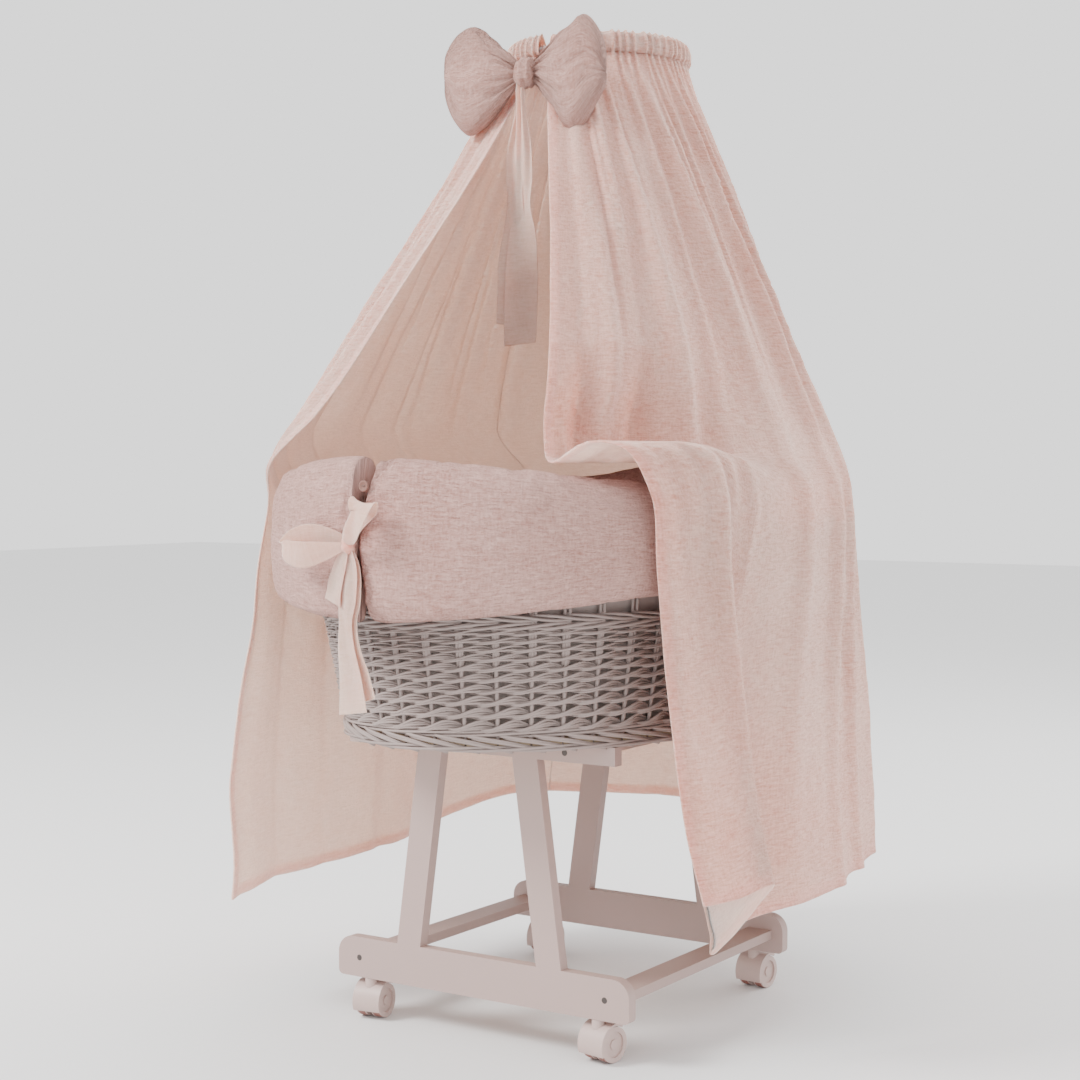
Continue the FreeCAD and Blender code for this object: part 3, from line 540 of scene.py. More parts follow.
# The front of the right curtain tucks in behind the rim and comes back over it: (height, inset, new height).
OVER_RIM = np.array([(690, 0, 690), (725, 4, 735), (755, 12, 778), (782, 22, 826), (805, 12, 853),
                     (822, -14, 857), (842, -50, 832), (858, -70, 838), (880, -66, 880), (930, -30, 930),
                     (990, 0, 990)], float)


def oval_point(t, z):
    """Point of the drape's oval at angle t degrees and height z: half-axes times cos and sin, over the squareness."""
    t = np.radians(t)
    a, b, c, n = (through(OVAL_Z, values, z) for values in (OVAL_A, OVAL_B, OVAL_C, OVAL_N))
    cos, sin = np.cos(t), np.sin(t)
    reach = (np.abs(cos) ** n + np.abs(sin) ** n) ** (-1 / n)
    return a * cos * reach, c + b * sin * reach


def drape_angle(u, z):
    """Angle of the cloth at fraction u from its right edge to its left edge, at height z."""
    right = through(RIGHT_EDGE[:, 0], RIGHT_EDGE[:, 1], z)
    left = through(LEFT_EDGE[:, 0], LEFT_EDGE[:, 1], z)
    return right + u * (left - right)


def pleat(x):
    """A wave with narrow rounded ridges and wide valleys, from about -0.6 to 1."""
    return np.cos(x) * 0.75 + np.cos(2 * x) * 0.25 + 0.08 * np.cos(3 * x)


def drape_folds(u, drop, size):
    """Outward swing of the folds: tight gathers under the ring, long fans of folds, and broad hem waves."""
    rng = np.random.default_rng(11)
    beat = size.gathers * TAU * u + 1.4 * wander(u * 40, drop * 0, 5) + 0.35 * wander(u * 25, drop * 9, 6)
    swing = 5.2 * pleat(beat) * np.exp(-drop / 70)
    pairs = beat * 0.5 + 1.3 * wander(u * 14, drop / 900, 7, 5, 1.0)
    swing = swing + 6.5 * pleat(pairs) * ease(5, 110, drop) * (1 - ease(220, 620, drop))
    fans = size.folds * TAU * u + 2.2 * wander(u * 9, drop / 1100, 14, 5, 1.0)
    uneven = 0.65 + 0.45 * wander(u * 15, drop / 700, 15, 5, 1.0)
    swing = swing + 14.0 * pleat(fans) * uneven * ease(90, 420, drop) * (1 - 0.55 * ease(600, 1150, drop))
    for _ in range(26):
        middle, width = rng.uniform(0.0, 1.0), rng.uniform(0.004, 0.010)
        depth, length = rng.uniform(4, 10) * rng.choice([1, 1, -1]), rng.uniform(350, 1200)
        drift, widen = rng.normal(0, 0.014), rng.uniform(0.4, 1.3)
        place = middle + drift * (drop / 1000) + 0.003 * np.sin(drop / 170 + 6 * middle)
        spread = width * (0.7 + widen * drop / 900)
        swing = swing + depth * hump(place, spread, u) * ease(15, 160, drop) * (1 - ease(length * 0.55, length, drop))
    hem_rise = ease(560, 1150, drop)
    waves = 0.62 * np.cos(TAU * 6.5 * u + 0.9 * wander(u * 4, drop * 0, 8)) + 0.45 * wander(u * 26, drop / 420, 9, 5, 1.0)
    swing = swing + size.hem_wave / MM * hem_rise * waves
    swing = swing + 3.6 * wander(u * 18, drop / 260, 10, 6, 1.3) * ease(60, 300, drop)
    crush = wander(u * 120, drop / 38, 12, 8, 1.2) + 0.6 * wander(u * 260, drop / 14, 13, 8, 1.2)
    return swing + 0.75 * crush * ease(30, 200, drop)


def drape_points(u, v, size):
    """Cloth of the drape in metres: oval at the angle and height of (u, v), swung out by its folds, eased to its edges."""
    u, v = np.broadcast_arrays(np.asarray(u, float)[None, :], np.asarray(v, float)[:, None])
    bottom = through(HEM[:, 0], HEM[:, 1], u)
    level = 243 + 0 * u
    blend = ease(0.45, 1.0, v)
    z = 1460 - (1460 - (level + (bottom - level) * blend)) * v
    lap = through(LAPPED[:, 0], LAPPED[:, 1:], u)
    lapped = np.clip((850 - z) / 600, 0, 1) ** 0.9
    t = drape_angle(u, z) + lap[..., 0] * lapped
    x, y = oval_point(t, z)
    ahead = oval_point(t + 0.5, z)
    tangent = unit(np.stack([ahead[0] - x, ahead[1] - y], -1))
    outward = np.stack([tangent[..., 1], -tangent[..., 0]], -1)
    drop = np.maximum(1452 - z, 0)
    on_rim = 1 - 0.5 * hump(830, 60, z)
    calm_edge = 0.25 + 0.75 * ease(0.0, 0.03, u) * ease(0.0, 0.02, 1 - u)
    calm_lap = 1 - 0.6 * lapped * (1 - ease(0.10, 0.2, u))
    swing = drape_folds(u, drop, size) * on_rim * calm_edge * calm_lap + lap[..., 1] * lapped
    over_flaps = ease(570, 640, z) * (1 - ease(850, 900, z))
    innermost = -3.5
    held_out = innermost + 0.5 * (swing - innermost + np.sqrt((swing - innermost) ** 2 + 9))
    swing = swing + (held_out - swing) * over_flaps
    front_right = 1 - ease(0.05, 0.16, u)
    tucked = through(OVER_RIM[:, 0], OVER_RIM[:, 1:], z)
    near = (z > 690) & (z < 990)
    inset = np.where(near, tucked[..., 0], 0) * front_right
    height = z + np.where(near, tucked[..., 1] - z, 0) * front_right
    swing = swing + inset * (1 + 0.18 * wander(u * 60, z * 0, 21))
    over_pole = hump(90, 9, t) * ease(1190, 1300, z) * (1 - ease(1440, 1458, z))
    swing = swing * (1 - 0.8 * over_pole) + 17 * over_pole
    place = np.stack([x + outward[..., 0] * swing, y + outward[..., 1] * swing], -1)
    edge_x, edge_y = oval_point(through(LEFT_EDGE[:, 0], LEFT_EDGE[:, 1], z), z)
    reach = through(LEFT_REACH[:, 0], LEFT_REACH[:, 1], z) - (edge_x * LEFT_OUT[0] + edge_y * LEFT_OUT[1])
    reach = np.where(z < 826, reach, 0) * (1 - ease(770, 840, z)) * ease(0.86, 1.0, u)
    place = place + reach[..., None] * LEFT_OUT
    return np.concatenate([place, height[..., None]], -1) * MM


def cloth_normals(points):
    """Unit normals of a grid of points."""
    return unit(np.cross(np.gradient(points, axis=1), np.gradient(points, axis=0)))


def two_layers(name, points, thickness, material, uv, lit_side=None):
    """A closed sheet: the grid moved half its thickness each way along its normal; the near side may have its own
    material, which the drape uses for painted light: a lighter copy of its muslin standing for light shining through
    the cloth.
    """
    rows, cols = points.shape[:2]
    normals = cloth_normals(points)
    half = np.broadcast_to(np.asarray(thickness, float), (rows, cols))[..., None] / 2
    whole = np.concatenate([points + normals * half, (points - normals * half)[:, ::-1]], 1)
    both_uv = np.concatenate([uv, uv[:, ::-1]], 1)
    index = np.arange(rows * 2 * cols).reshape(rows, 2 * cols)
    body = grid_quads(rows, 2 * cols, around=True)
    steps = np.arange(cols - 1)
    top, low = index[0], index[-1]
    first = np.stack([top[steps], top[2 * cols - 1 - steps], top[2 * cols - 2 - steps], top[steps + 1]], -1)
    last = np.stack([low[steps], low[steps + 1], low[2 * cols - 2 - steps], low[2 * cols - 1 - steps]], -1)
    piece = mesh_piece(name, whole, np.concatenate([body, first, last]), material, both_uv)
    if lit_side:
        piece.data.materials.append(lit_side)
        far = np.concatenate([body[:, 0] % (2 * cols) < cols, np.zeros(2 * len(steps), bool)])
        piece.data.polygons.foreach_set("material_index", far.astype(np.int32))
    return piece


def hem_bands(distance, width=0.014):
    """Extra thickness of a turned hem: full within its width, with a stitched groove at its inner side."""
    return 0.0012 * (1 - ease(width, width + 0.002, distance)) - 0.0007 * hump(width, 0.0014, distance)


def drape_heading(u, size):
    """Cross-section of the casing over the ring, from inside it, over the top and down to the stitching."""
    section = np.array([(-9, 1440), (-11, 1450), (-9, 1460), (-5, 1468), (0, 1475), (6, 1470), (9, 1461),
                        (9, 1450), (6, 1444)], float)
    beat = size.gathers * TAU * u + 1.4 * wander(u * 40, u * 0, 5) + 0.35 * wander(u * 25, u * 0, 6)
    t = drape_angle(u, 1452.0)
    points = []
    for inset, z in section:
        x, y = oval_point(t, 1452.0)
        direction = unit(np.stack([x, y - 87], -1))
        swell = inset + 3.0 * pleat(beat + 0.2)
        rise = 2.0 * pleat(beat + 0.2) * ease(1450, 1474, z)
        points.append(np.stack([x + direction[:, 0] * swell, y + direction[:, 1] * swell, z + rise], -1))
    return np.stack(points) * MM


class BASSINET_OT_drape(Operator):
    """Hangs the gathered muslin drape from the ring: three sewn panels and the casing over the wire"""
    bl_idname = "bassinet.drape"
    bl_label = "Drape"

    def execute(self, context):
        size = context.scene.bassinet_drape
        rows = 210
        v = np.concatenate([np.linspace(0, 0.12, 34)[:-1], np.linspace(0.12, 1, rows - 33)])
        for label, start, end, cols in (("right", 0.0, 0.34, 225), ("back", 0.34, 0.67, 225), ("left", 0.67, 1.0, 225)):
            u = np.linspace(start, end, cols)
            points = drape_points(u, v, size)
            uv = cloth_uv(points) + np.array([start * 3.0, 0])
            down = np.cumsum(np.linalg.norm(np.diff(points, axis=0, prepend=points[:1]), axis=2), 0)
            from_hem = down[-1:] - down
            across = np.cumsum(np.linalg.norm(np.diff(points, axis=1, prepend=points[:, :1]), axis=2), 1)
            thickness = size.thickness + hem_bands(from_hem)
            if start == 0:
                thickness = thickness + hem_bands(across)
            if end == 1:
                thickness = thickness + hem_bands(across[:, -1:] - across)
            # The inner side takes the lighter copy of the muslin: painted light shining through the cloth.
            panel = two_layers("drape_" + label, points, thickness, MATERIALS["drape"], uv, MATERIALS["drape_inside_glow"])
            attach(panel, "stand")
        u = np.linspace(0, 1, 760)
        heading = drape_heading(u, size)
        casing = two_layers("drape_casing", heading, 0.0012, MATERIALS["drape"], cloth_uv(heading))
        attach(casing, "stand")
        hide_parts("drape")
        return {"FINISHED"}


def cloth_area(points):
    """Area of a grid of points."""
    one = np.linalg.norm(np.cross(points[:-1, 1:] - points[:-1, :-1], points[1:, :-1] - points[:-1, :-1]), axis=2)
    two = np.linalg.norm(np.cross(points[:-1, 1:] - points[1:, 1:], points[1:, :-1] - points[1:, 1:]), axis=2)
    return (one.sum() + two.sum()) / 2


# ---------------------------------------------------------------------- the stand


class BASSINET_OT_stand(Operator):
    """Finishes the fixed timber, metal and plastic parts, and adds treads to the castor wheels"""
    bl_idname = "bassinet.stand"
    bl_label = "Stand and Castors"

    def execute(self, context):
        for name in ("front_board", "back_board", "front_bearer", "back_bearer"):
            carry_over(name, MATERIALS["paint_x"])
        for name in ("left_rail", "right_rail", "left_batten", "right_batten"):
            carry_over(name, MATERIALS["paint_y"])
        for corner in CORNERS:
            carry_over(corner + "_leg", MATERIALS["paint_z"])
            carry_over("castor_%s_stem" % corner, MATERIALS["steel"])
            carry_over("castor_%s_axle" % corner, MATERIALS["steel"])
            carry_over("castor_%s_hood" % corner, MATERIALS["castor"])
            for side in ("left", "right"):
                wheel = "castor_%s_wheel_%s" % (corner, side)
                carry_over(wheel, MATERIALS["castor"])
                self.tread(wheel)
        for name in ("rail_screws", "bearer_screws"):
            carry_over(name, MATERIALS["screw"])
        carry_over("leg_dowels", MATERIALS["plywood"])
        carry_over("castor_sockets", MATERIALS["steel"])
        carry_over("basket_base", MATERIALS["plywood"])
        for name in ("canopy_pole", "pole_bracket", "canopy_ring", "ring_clip"):
            carry_over(name, MATERIALS["enamel"])
        return {"FINISHED"}

    def tread(self, wheel):
        """Soft band round a wheel: its radius over a rounded strip, wrapped round the axle."""
        joint = next(j for j in frame["record"]["behaviour"]["joints"] if j["child"] == wheel + "_body")
        centre, axis = np.array(joint["pos_m"], float), unit(np.array(joint["axis"], float))
        low, high = node_box(wheel)
        middle = (low + high) / 2
        along = float(np.dot(middle - centre, axis))
        side = unit(np.cross(axis, (0, 0, 1)))
        over = np.cross(side, axis)
        around = np.arange(72) * TAU / 72
        strip = np.array([(-6.2, 23.6), (-6.0, 24.9), (-5.0, 25.35), (0, 25.5), (5.0, 25.35), (6.0, 24.9), (6.2, 23.6)]) * MM
        radial = np.cos(around)[:, None] * side + np.sin(around)[:, None] * over
        points = centre + (along + strip[:, None, None, 0]) * axis + strip[:, None, None, 1] * radial[None]
        uv = np.stack(np.broadcast_arrays(around[None, :] * 0.025, strip[:, None, 0]), -1)
        band = surface(wheel + "_tread", points, MATERIALS["tread"], uv, around=True, along=True)
        weld(band)
        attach(band, wheel + "_body")


# ---------------------------------------------------------------------- the stage


class BASSINET_OT_stage(Operator):
    """Pale floor, soft studio lights and the camera"""
    bl_idname = "bassinet.stage"
    bl_label = "Stage"

    def execute(self, context):
        floor_material = finish_material(
            "Studio Floor",
            lambda tree: effect(tree, "scuffs", scuff_group, Vector=from_object(tree), Colour=(0.80, 0.80, 0.80, 1),
                                Amount=0.0, Gloss=0.7), 0.0, 0.0001)
        reach = np.linspace(-14, 14, 9)
        points = np.stack(np.meshgrid(reach, reach) + [np.full((9, 9), -0.0006)], -1)
        floor = surface("floor", points, floor_material)
        self.light("key", (-2.4, -3.0, 3.6), 310, 1.6, (1.0, 0.985, 0.97))
        self.light("fill", (3.6, -2.2, 2.0), 45, 3.0, (1.0, 0.98, 0.97))
        self.light("rim", (1.8, 3.2, 3.2), 130, 2.4, (1.0, 1.0, 1.0))
        world = bpy.data.worlds.new("studio")
        world.use_nodes = True
        world.node_tree.nodes["Background"].inputs["Color"].default_value = (1.0, 1.0, 1.0, 1)
        world.node_tree.nodes["Background"].inputs["Strength"].default_value = 1.65
        context.scene.world = world
        camera = bpy.data.objects.new("camera", bpy.data.cameras.new("camera"))
        camera.location = (1.6008, -2.5048, 0.8201)
        camera.rotation_euler = (math.radians(90 - 2.045), 0, math.radians(33.4155))
        camera.data.lens = 64.66
        camera.data.sensor_width = 36
        context.scene.collection.objects.link(camera)
        context.scene.camera = camera
        return {"FINISHED"}

    def light(self, name, place, power, size, colour):
        lamp = bpy.data.objects.new(name, bpy.data.lights.new(name, "AREA"))
        lamp.data.energy = power
        lamp.data.size = size
        lamp.data.color = colour
        lamp.location = place
        aim = np.array([0, 0, 0.8]) - np.array(place)
        flat = math.hypot(aim[0], aim[1])
        lamp.rotation_euler = (math.atan2(flat, -aim[2]), 0, math.atan2(aim[1], aim[0]) - math.pi / 2)
        bpy.context.scene.collection.objects.link(lamp)


# ----------------------------------------------------------------------- the flaps

FLAP_LONG, FLAP_WIDE = 509.0, 379.0
FLAP_GAP = 9.0
# Cross-section of a flap, as (inset from the outer oval, share of its height from 0 at the hem to 1 at the top).
FLAP_SECTION = np.array([(-9, -0.005), (-2, 0.03), (2.5, 0.13), (4.5, 0.32), (4.5, 0.52), (3, 0.70), (-1, 0.85),
                         (-8, 0.955), (-19, 1.0), (-33, 1.005), (-46, 0.975), (-55, 0.90), (-60, 0.78), (-61, 0.66),
                         (-56, 0.62), (-51, 0.68), (-48, 0.80), (-42, 0.865), (-32, 0.868), (-26.5, 0.81),
                         (-25.5, 0.6), (-26, 0.35), (-26, 0.12), (-21, 0.02)], float)


def flap_heights(y):
    """Height of a flap's hem and of its top at length y: both lift or dip towards the ends."""
    share = np.abs(y / 510) ** 2.7
    return 655 - 31 * share, 790 + 46 * share


def flap_points(side, rows, cols, size):
    """A flap in metres: its section carried round the oval, with puffed face, quilt dimples and pinched ends."""
    gap = math.degrees(FLAP_GAP / FLAP_WIDE)
    t = np.linspace(-90 + gap, 90 - gap, cols)
    slow_start = ease(0, 1, np.linspace(0, 1, cols))
    t = 0.75 * t + 0.25 * (-90 + gap + (180 - 2 * gap) * slow_start)
    along = np.cumsum(np.hypot(np.gradient(np.cos(np.radians(t)) * FLAP_WIDE),
                               np.gradient(np.sin(np.radians(t)) * FLAP_LONG)))
    lap = np.concatenate([FLAP_SECTION, FLAP_SECTION[:1]])
    steps = np.concatenate([[0], np.cumsum(np.hypot(np.diff(lap[:, 0]), np.diff(lap[:, 1]) * 160))])
    steps = steps / steps[-1]
    v = np.linspace(0, 1, rows + 1)[:-1]
    section = through(steps, lap, v)
    inset = np.broadcast_to(section[:, :1], (rows, cols)).copy()
    share = np.broadcast_to(section[:, 1:], (rows, cols)).copy()
    outer = ease(0.0, 0.06, v)[:, None] * (1 - ease(0.36, 0.46, v)[:, None])
    from_front = (t + 90)[None, :]
    from_end = np.minimum(from_front, 180 - from_front)
    quilt = wander(along / 95, v[:, None] * 7, 31 + side, 7, 1.5)
    puff = wander(along / 46, v[:, None] * 16, 33 + side, 8, 1.4)
    crinkle = wander(along / 24, v[:, None] * 100, 35 + side, 10, 1.0) + wander(along / 10, v[:, None] * 150, 36 + side, 8, 1.0)
    inset += size.puff / MM * (0.55 * quilt + 0.30 * puff) + 0.42 * crinkle * (0.4 + 0.6 * outer)
    tie_height = hump(0.45, 0.20, share) * outer
    inset -= (5.5 * hump(0, 3.2, from_end) + 2.0 * hump(0, 9, from_end) * np.cos(from_end * 1.9)) * tie_height
    pinch = ease(0, 2.6, from_end)
    middle = -28.0
    inset = middle + (inset - middle) * (0.42 + 0.58 * pinch ** 0.5)
    inset = inset + 9 * (1 - pinch)
    y = FLAP_LONG * np.sin(np.radians(t))[None, :]
    low, high = flap_heights(y)
    sag = 2.2 * wander(along / 110, along * 0, 38 + side, 5, 1.2) - 5.0 * hump(0, 2.0, from_end)
    corner = (1 - ease(0, 5.0, from_end)) ** 2
    low = low + 0.5 * sag + (16 * corner if side > 0 else -3 * corner)
    high = high + 0.7 * sag - 2 * corner
    half = (low + high) / 2
    z = low + share * (high - low)
    z = half + (z - half) * (1 - 0.12 * (1 - ease(0, 1.2, from_end)))
    lean = FLAP_GAP * (1.1 * ease(0.0, 1.0, (share - 0.5) / 0.5) - 0.75 * hump(0.42, 0.22, share)) * hump(0, 3.0, from_end)
    shift = np.degrees(lean / FLAP_WIDE) * np.where(from_front < 90, 1, -1)
    spread = np.degrees(3.0 / FLAP_WIDE) * np.sin(share * 9 + side) * hump(0, 2.0, from_end)
    angle = np.radians(t[None, :] + shift + spread * np.where(from_front < 90, 1, -1))
    cos, sin = np.cos(angle), np.sin(angle)
    out = unit(np.stack([cos / FLAP_WIDE, sin / FLAP_LONG], -1))
    x = FLAP_WIDE * cos + out[..., 0] * inset
    y = FLAP_LONG * sin + out[..., 1] * inset
    points = np.stack([side * x, y, z], -1) * MM
    uv = np.stack(np.broadcast_arrays(along[None, :] * MM + side, v[:, None] * 0.62), -1)
    return points, uv


def closed_band(name, points, material, uv):
    """A grid closed round its rows, with each end drawn together in a centre point strip."""
    rows, cols = points.shape[:2]
    ends = []
    for column, step in ((0, -1), (cols - 1, 1)):
        rim = points[:, column]
        middle = rim.mean(0)
        flat = middle + (rim - middle) * 0.45
        ends.append(flat)
    points = np.concatenate([ends[0][:, None], points, ends[1][:, None]], 1)
    uv = np.concatenate([uv[:, :1], uv, uv[:, -1:]], 1)
    index = np.arange(rows * (cols + 2)).reshape(rows, cols + 2)
    body = grid_quads(rows, cols + 2, along=True)
    k = np.arange(rows // 2 - 1)
    caps = []
    for column, turned in ((0, False), (cols + 1, True)):
        ring = index[:, column]
        cap = np.stack([ring[k], ring[k + 1], ring[rows - 2 - k], ring[rows - 1 - k]], -1)
        caps.append(cap[:, ::-1] if turned else cap)
    piece = mesh_piece(name, points, np.concatenate([body] + caps), material, uv)
    return weld(piece)


class BASSINET_OT_flaps(Operator):
    """Lays the two padded muslin flaps over the rim, with the gap where they are tied"""
    bl_idname = "bassinet.flaps"
    bl_label = "Flaps"

    def execute(self, context):
        size = context.scene.bassinet_flaps
        for name, side in (("left", -1), ("right", 1)):
            points, uv = flap_points(side, 110, 330, size)
            flap = closed_band("padded_flap_" + name, points, MATERIALS["flap"], uv)
            settle(flap, lambda at: (np.abs(at[:, 0]) < 0.012) | (self.inset(at) > 0.045), size.slack, 2.0, 0.005)
            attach(flap, "stand")
            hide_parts("flap_" + name)
        return {"FINISHED"}

    def inset(self, at):
        """How far points lie inside the flaps' outer oval, roughly: one less their share of it, times its half-width."""
        share = np.hypot(at[:, 0] / (FLAP_WIDE * MM), at[:, 1] / (FLAP_LONG * MM))
        return (1 - share) * FLAP_WIDE * MM


# ------------------------------------------------------------------------- the bow

# Outline of each loop of the bow: (outwards, top, bottom) from the knot, in millimetres.
LEFT_LOOP = np.array([(9, 13, -13), (22, 27, -27), (42, 52, -50), (66, 67, -70), (90, 71, -81), (112, 60, -62),
                      (126, 38, -34), (132, 3, -1)], float)
RIGHT_LOOP = np.array([(9, 13, -13), (22, 25, -25), (44, 42, -52), (66, 58, -82), (84, 71, -84), (102, 66, -58),
                       (118, 38, -36), (125, -6, -12)], float)


def bow_frame():
    """Centre of the bow's knot and the directions across, up and out of its face, in metres."""
    low, high = node_box("bow_knot")
    centre = (low + high) / 2
    across = np.array([math.cos(math.radians(6)), math.sin(math.radians(6)), 0])
    face = np.array([math.sin(math.radians(6)), -math.cos(math.radians(6)), 0])
    return centre, across, np.array([0, 0, 1.0]), face


def bow_loop(side, outline, rows, cols, depth, seed):
    """A stuffed loop: outline(a) split into top and bottom, puffed by |sin|^0.75, creased towards the knot."""
    a = np.sin(np.linspace(0, math.pi / 2, cols))
    a = 0.5 * a + 0.5 * np.linspace(0, 1, cols)
    shape = through(np.linspace(0, 1, len(outline)), outline, a)
    out, top, bottom = shape.T
    angle = np.arange(rows) * TAU / rows
    cos, sin = np.cos(angle)[:, None], np.sin(angle)[:, None]
    middle, half = (top + bottom) / 2, (top - bottom) / 2
    height = middle[None] + half[None] * np.sign(cos) * np.abs(cos) ** 0.85
    share = cos * np.ones_like(a)[None]
    fat = depth * (0.30 + 0.70 * ease(0.0, 0.42, a)) * (1 - 0.999 * a ** 5) ** 0.5 * (half / 75) ** 0.25
    puff = fat[None] * np.abs(sin) ** 0.75
    rng = np.random.default_rng(seed)
    for place in np.concatenate([np.linspace(-0.8, 0.8, 6) + rng.normal(0, 0.06, 6)]):
        reach = rng.uniform(0.32, 0.62)
        puff = puff - 6.5 * hump(place * (1 + 0.25 * a[None]), 0.085, share) * (1 - ease(reach * 0.4, reach, a))[None]
    puff = puff + 1.5 * wander(share * 3.0, a[None] * 6.0, seed, 7, 1.4) * np.abs(sin) ** 0.5
    puff = puff + 0.45 * wander(share * 16, a[None] * 18, seed + 1, 8, 1.4) * np.abs(sin) ** 0.5
    seam = 1.6 * hump(0, 0.09, sin)
    edge_wave = 1.3 * wander(a[None] * 9, np.sign(cos) * 3, seed + 2, 5, 1.3)
    height = height + np.sign(cos) * (seam + edge_wave) * ease(0.05, 0.3, a)[None] * np.abs(cos) ** 2
    thickness = np.maximum(puff, 0.8 * np.abs(sin)) * np.sign(sin)
    end = 1 - 0.999 * (a > 0.9999)
    thickness = thickness * end[None]
    local = np.stack(np.broadcast_arrays(side * out[None], thickness, height), -1)
    uv = np.stack(np.broadcast_arrays(out[None] * MM, np.arange(rows)[:, None] / rows * 0.42), -1)
    return local * MM, uv


class BASSINET_OT_bow(Operator):
    """Makes the stuffed bow at the ring: two creased loops, the band round the knot and two sheer tails"""
    bl_idname = "bassinet.bow"
    bl_label = "Bow"

    def execute(self, context):
        size = context.scene.bassinet_bow
        centre, across, up, face = bow_frame()
        for name, side, outline, seed in (("left", -1, LEFT_LOOP, 41), ("right", 1, RIGHT_LOOP, 47)):
            local, uv = bow_loop(side, outline, 84, 96, size.loop_depth / MM, seed)
            points = centre + local[..., :1] * across + local[..., 1:2] * face + local[..., 2:] * up
            loop = closed_band("bow_%s_loop" % name, points, MATERIALS["bow"], uv)
            settle(loop, lambda at: np.linalg.norm(at - centre, axis=1) < 0.024, size.slack, 4.0, 0.006)
            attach(loop, "stand")
            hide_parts("bow_loop_" + name)
        self.knot(centre, across, up, face)
        self.tails(centre, across, face, size)
        return {"FINISHED"}

    def knot(self, centre, across, up, face):
        """Band round the waist: a puffed ring section with folds running over it."""
        v = np.linspace(0, math.pi, 44)[:, None]
        angle = (np.arange(96) * TAU / 96)[None, :]
        wide = 14.5 * np.cos(v) * (1 + 0.08 * np.cos(3 * angle))
        tall = (7 + 15.5 * np.sin(v) ** 0.6)
        deep = (6 + 13.5 * np.sin(v) ** 0.6)
        fold = 1.3 * np.cos(v * 7 + 0.8 * np.sin(angle)) * np.sin(v) + 0.4 * wander(angle * 3, v * 6, 51, 6, 1.2)
        points = (centre + MM * (wide[..., None] * across
                                 + ((tall + fold) * np.cos(angle))[..., None] * up
                                 + ((deep + fold) * np.sin(angle))[..., None] * face))
        uv = np.stack(np.broadcast_arrays(v * 0.012, angle * 0.02), -1)
        points = np.concatenate([np.repeat(points[:1].mean(1, keepdims=True), 96, 1) * 0.5 + points[:1] * 0.5, points,
                                 np.repeat(points[-1:].mean(1, keepdims=True), 96, 1) * 0.5 + points[-1:] * 0.5], 0)
        uv = np.concatenate([uv[:1], uv, uv[-1:]], 0)
        rows, cols = points.shape[:2]
        index = np.arange(rows * cols).reshape(rows, cols)
        k = np.arange(cols // 2 - 1)
        caps = [np.stack([ring[k], ring[k + 1], ring[cols - 2 - k], ring[cols - 1 - k]], -1)
                for ring in (index[0], index[-1][::-1])]
        quads = np.concatenate([grid_quads(rows, cols, around=True)] + caps)
        knot = weld(mesh_piece("bow_band", points, quads, MATERIALS["bow"], uv))
        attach(knot, "stand")
        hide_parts("bow_knot")

    def tails(self, centre, across, face, size):
        """Sheer ribbons: narrow under the knot, widening as they fall, lightly curled along their length."""
        bottom = node_box("bow_tails")[0][2] / MM
        for label, shift, tilt, end, seed, out in (("near", 6, 0.10, bottom + 2, 61, 9.0), ("far", -10, -0.16, bottom + 30, 67, 3.0)):
            drop = np.linspace(0, 1, 190)[:, None]
            w = np.linspace(-1, 1, 40)[None, :]
            top = centre[2] / MM - 12
            z = top + (end - top) * drop + 3 * w * tilt * ease(0.8, 1, drop) * 8
            half = 5 + (size.tail_width / MM / 2 - 5) * ease(0.0, 0.62, drop) - 2.0 * hump(0.45, 0.06, drop)
            curl = 0.9 * np.sin(TAU * 1.2 * drop + seed) * ease(0.1, 0.5, drop) + 0.25 * wander(drop * 4, drop * 0, seed)
            x = shift * ease(0, 0.3, drop) + half * w * np.cos(0.55 * curl) + 5 * np.sin(TAU * 0.7 * drop + seed)
            x = x - 14 * ease(0.1, 0.9, drop)
            ripple = 3.2 * np.cos(w * 5.2 + 3 * drop + seed) * (1 - ease(0.05, 0.75, drop)) * ease(0, 0.05, drop)
            y = out + half * w * np.sin(0.55 * curl) + ripple + 1.6 * wander(w * 1.5, drop * 7, seed + 1, 6, 1.2)
            points = centre * np.array([1, 1, 0]) + MM * (x[..., None] * across + y[..., None] * face) \
                + np.stack(np.broadcast_arrays(0 * x, 0 * x, z * MM + 0 * x), -1)
            tail = two_layers("bow_tail_" + label, points, 0.0007, MATERIALS["ribbon"], cloth_uv(points))
            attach(tail, "stand")
            if label == "near":
                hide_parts("bow_tails")


# ---------------------------------------------------------------------- the tie


def ribbon(name, path, across, material, thickness=0.0008, wave=0.0, seed=0, cols=22):
    """A ribbon along a path, spread each way along its across vectors, with a light ripple out of its face."""
    w = np.linspace(-1, 1, cols)[None, :, None]
    points = path[:, None] + across[:, None] * w
    normals = cloth_normals(points)
    s = np.linspace(0, 1, len(path))[:, None]
    ripple = wave * wander(w[..., 0] * 2.2, s * 9, seed, 7, 1.3)
    points = points + normals * ripple[..., None]
    return two_layers(name, points, thickness, material, cloth_uv(points)), points


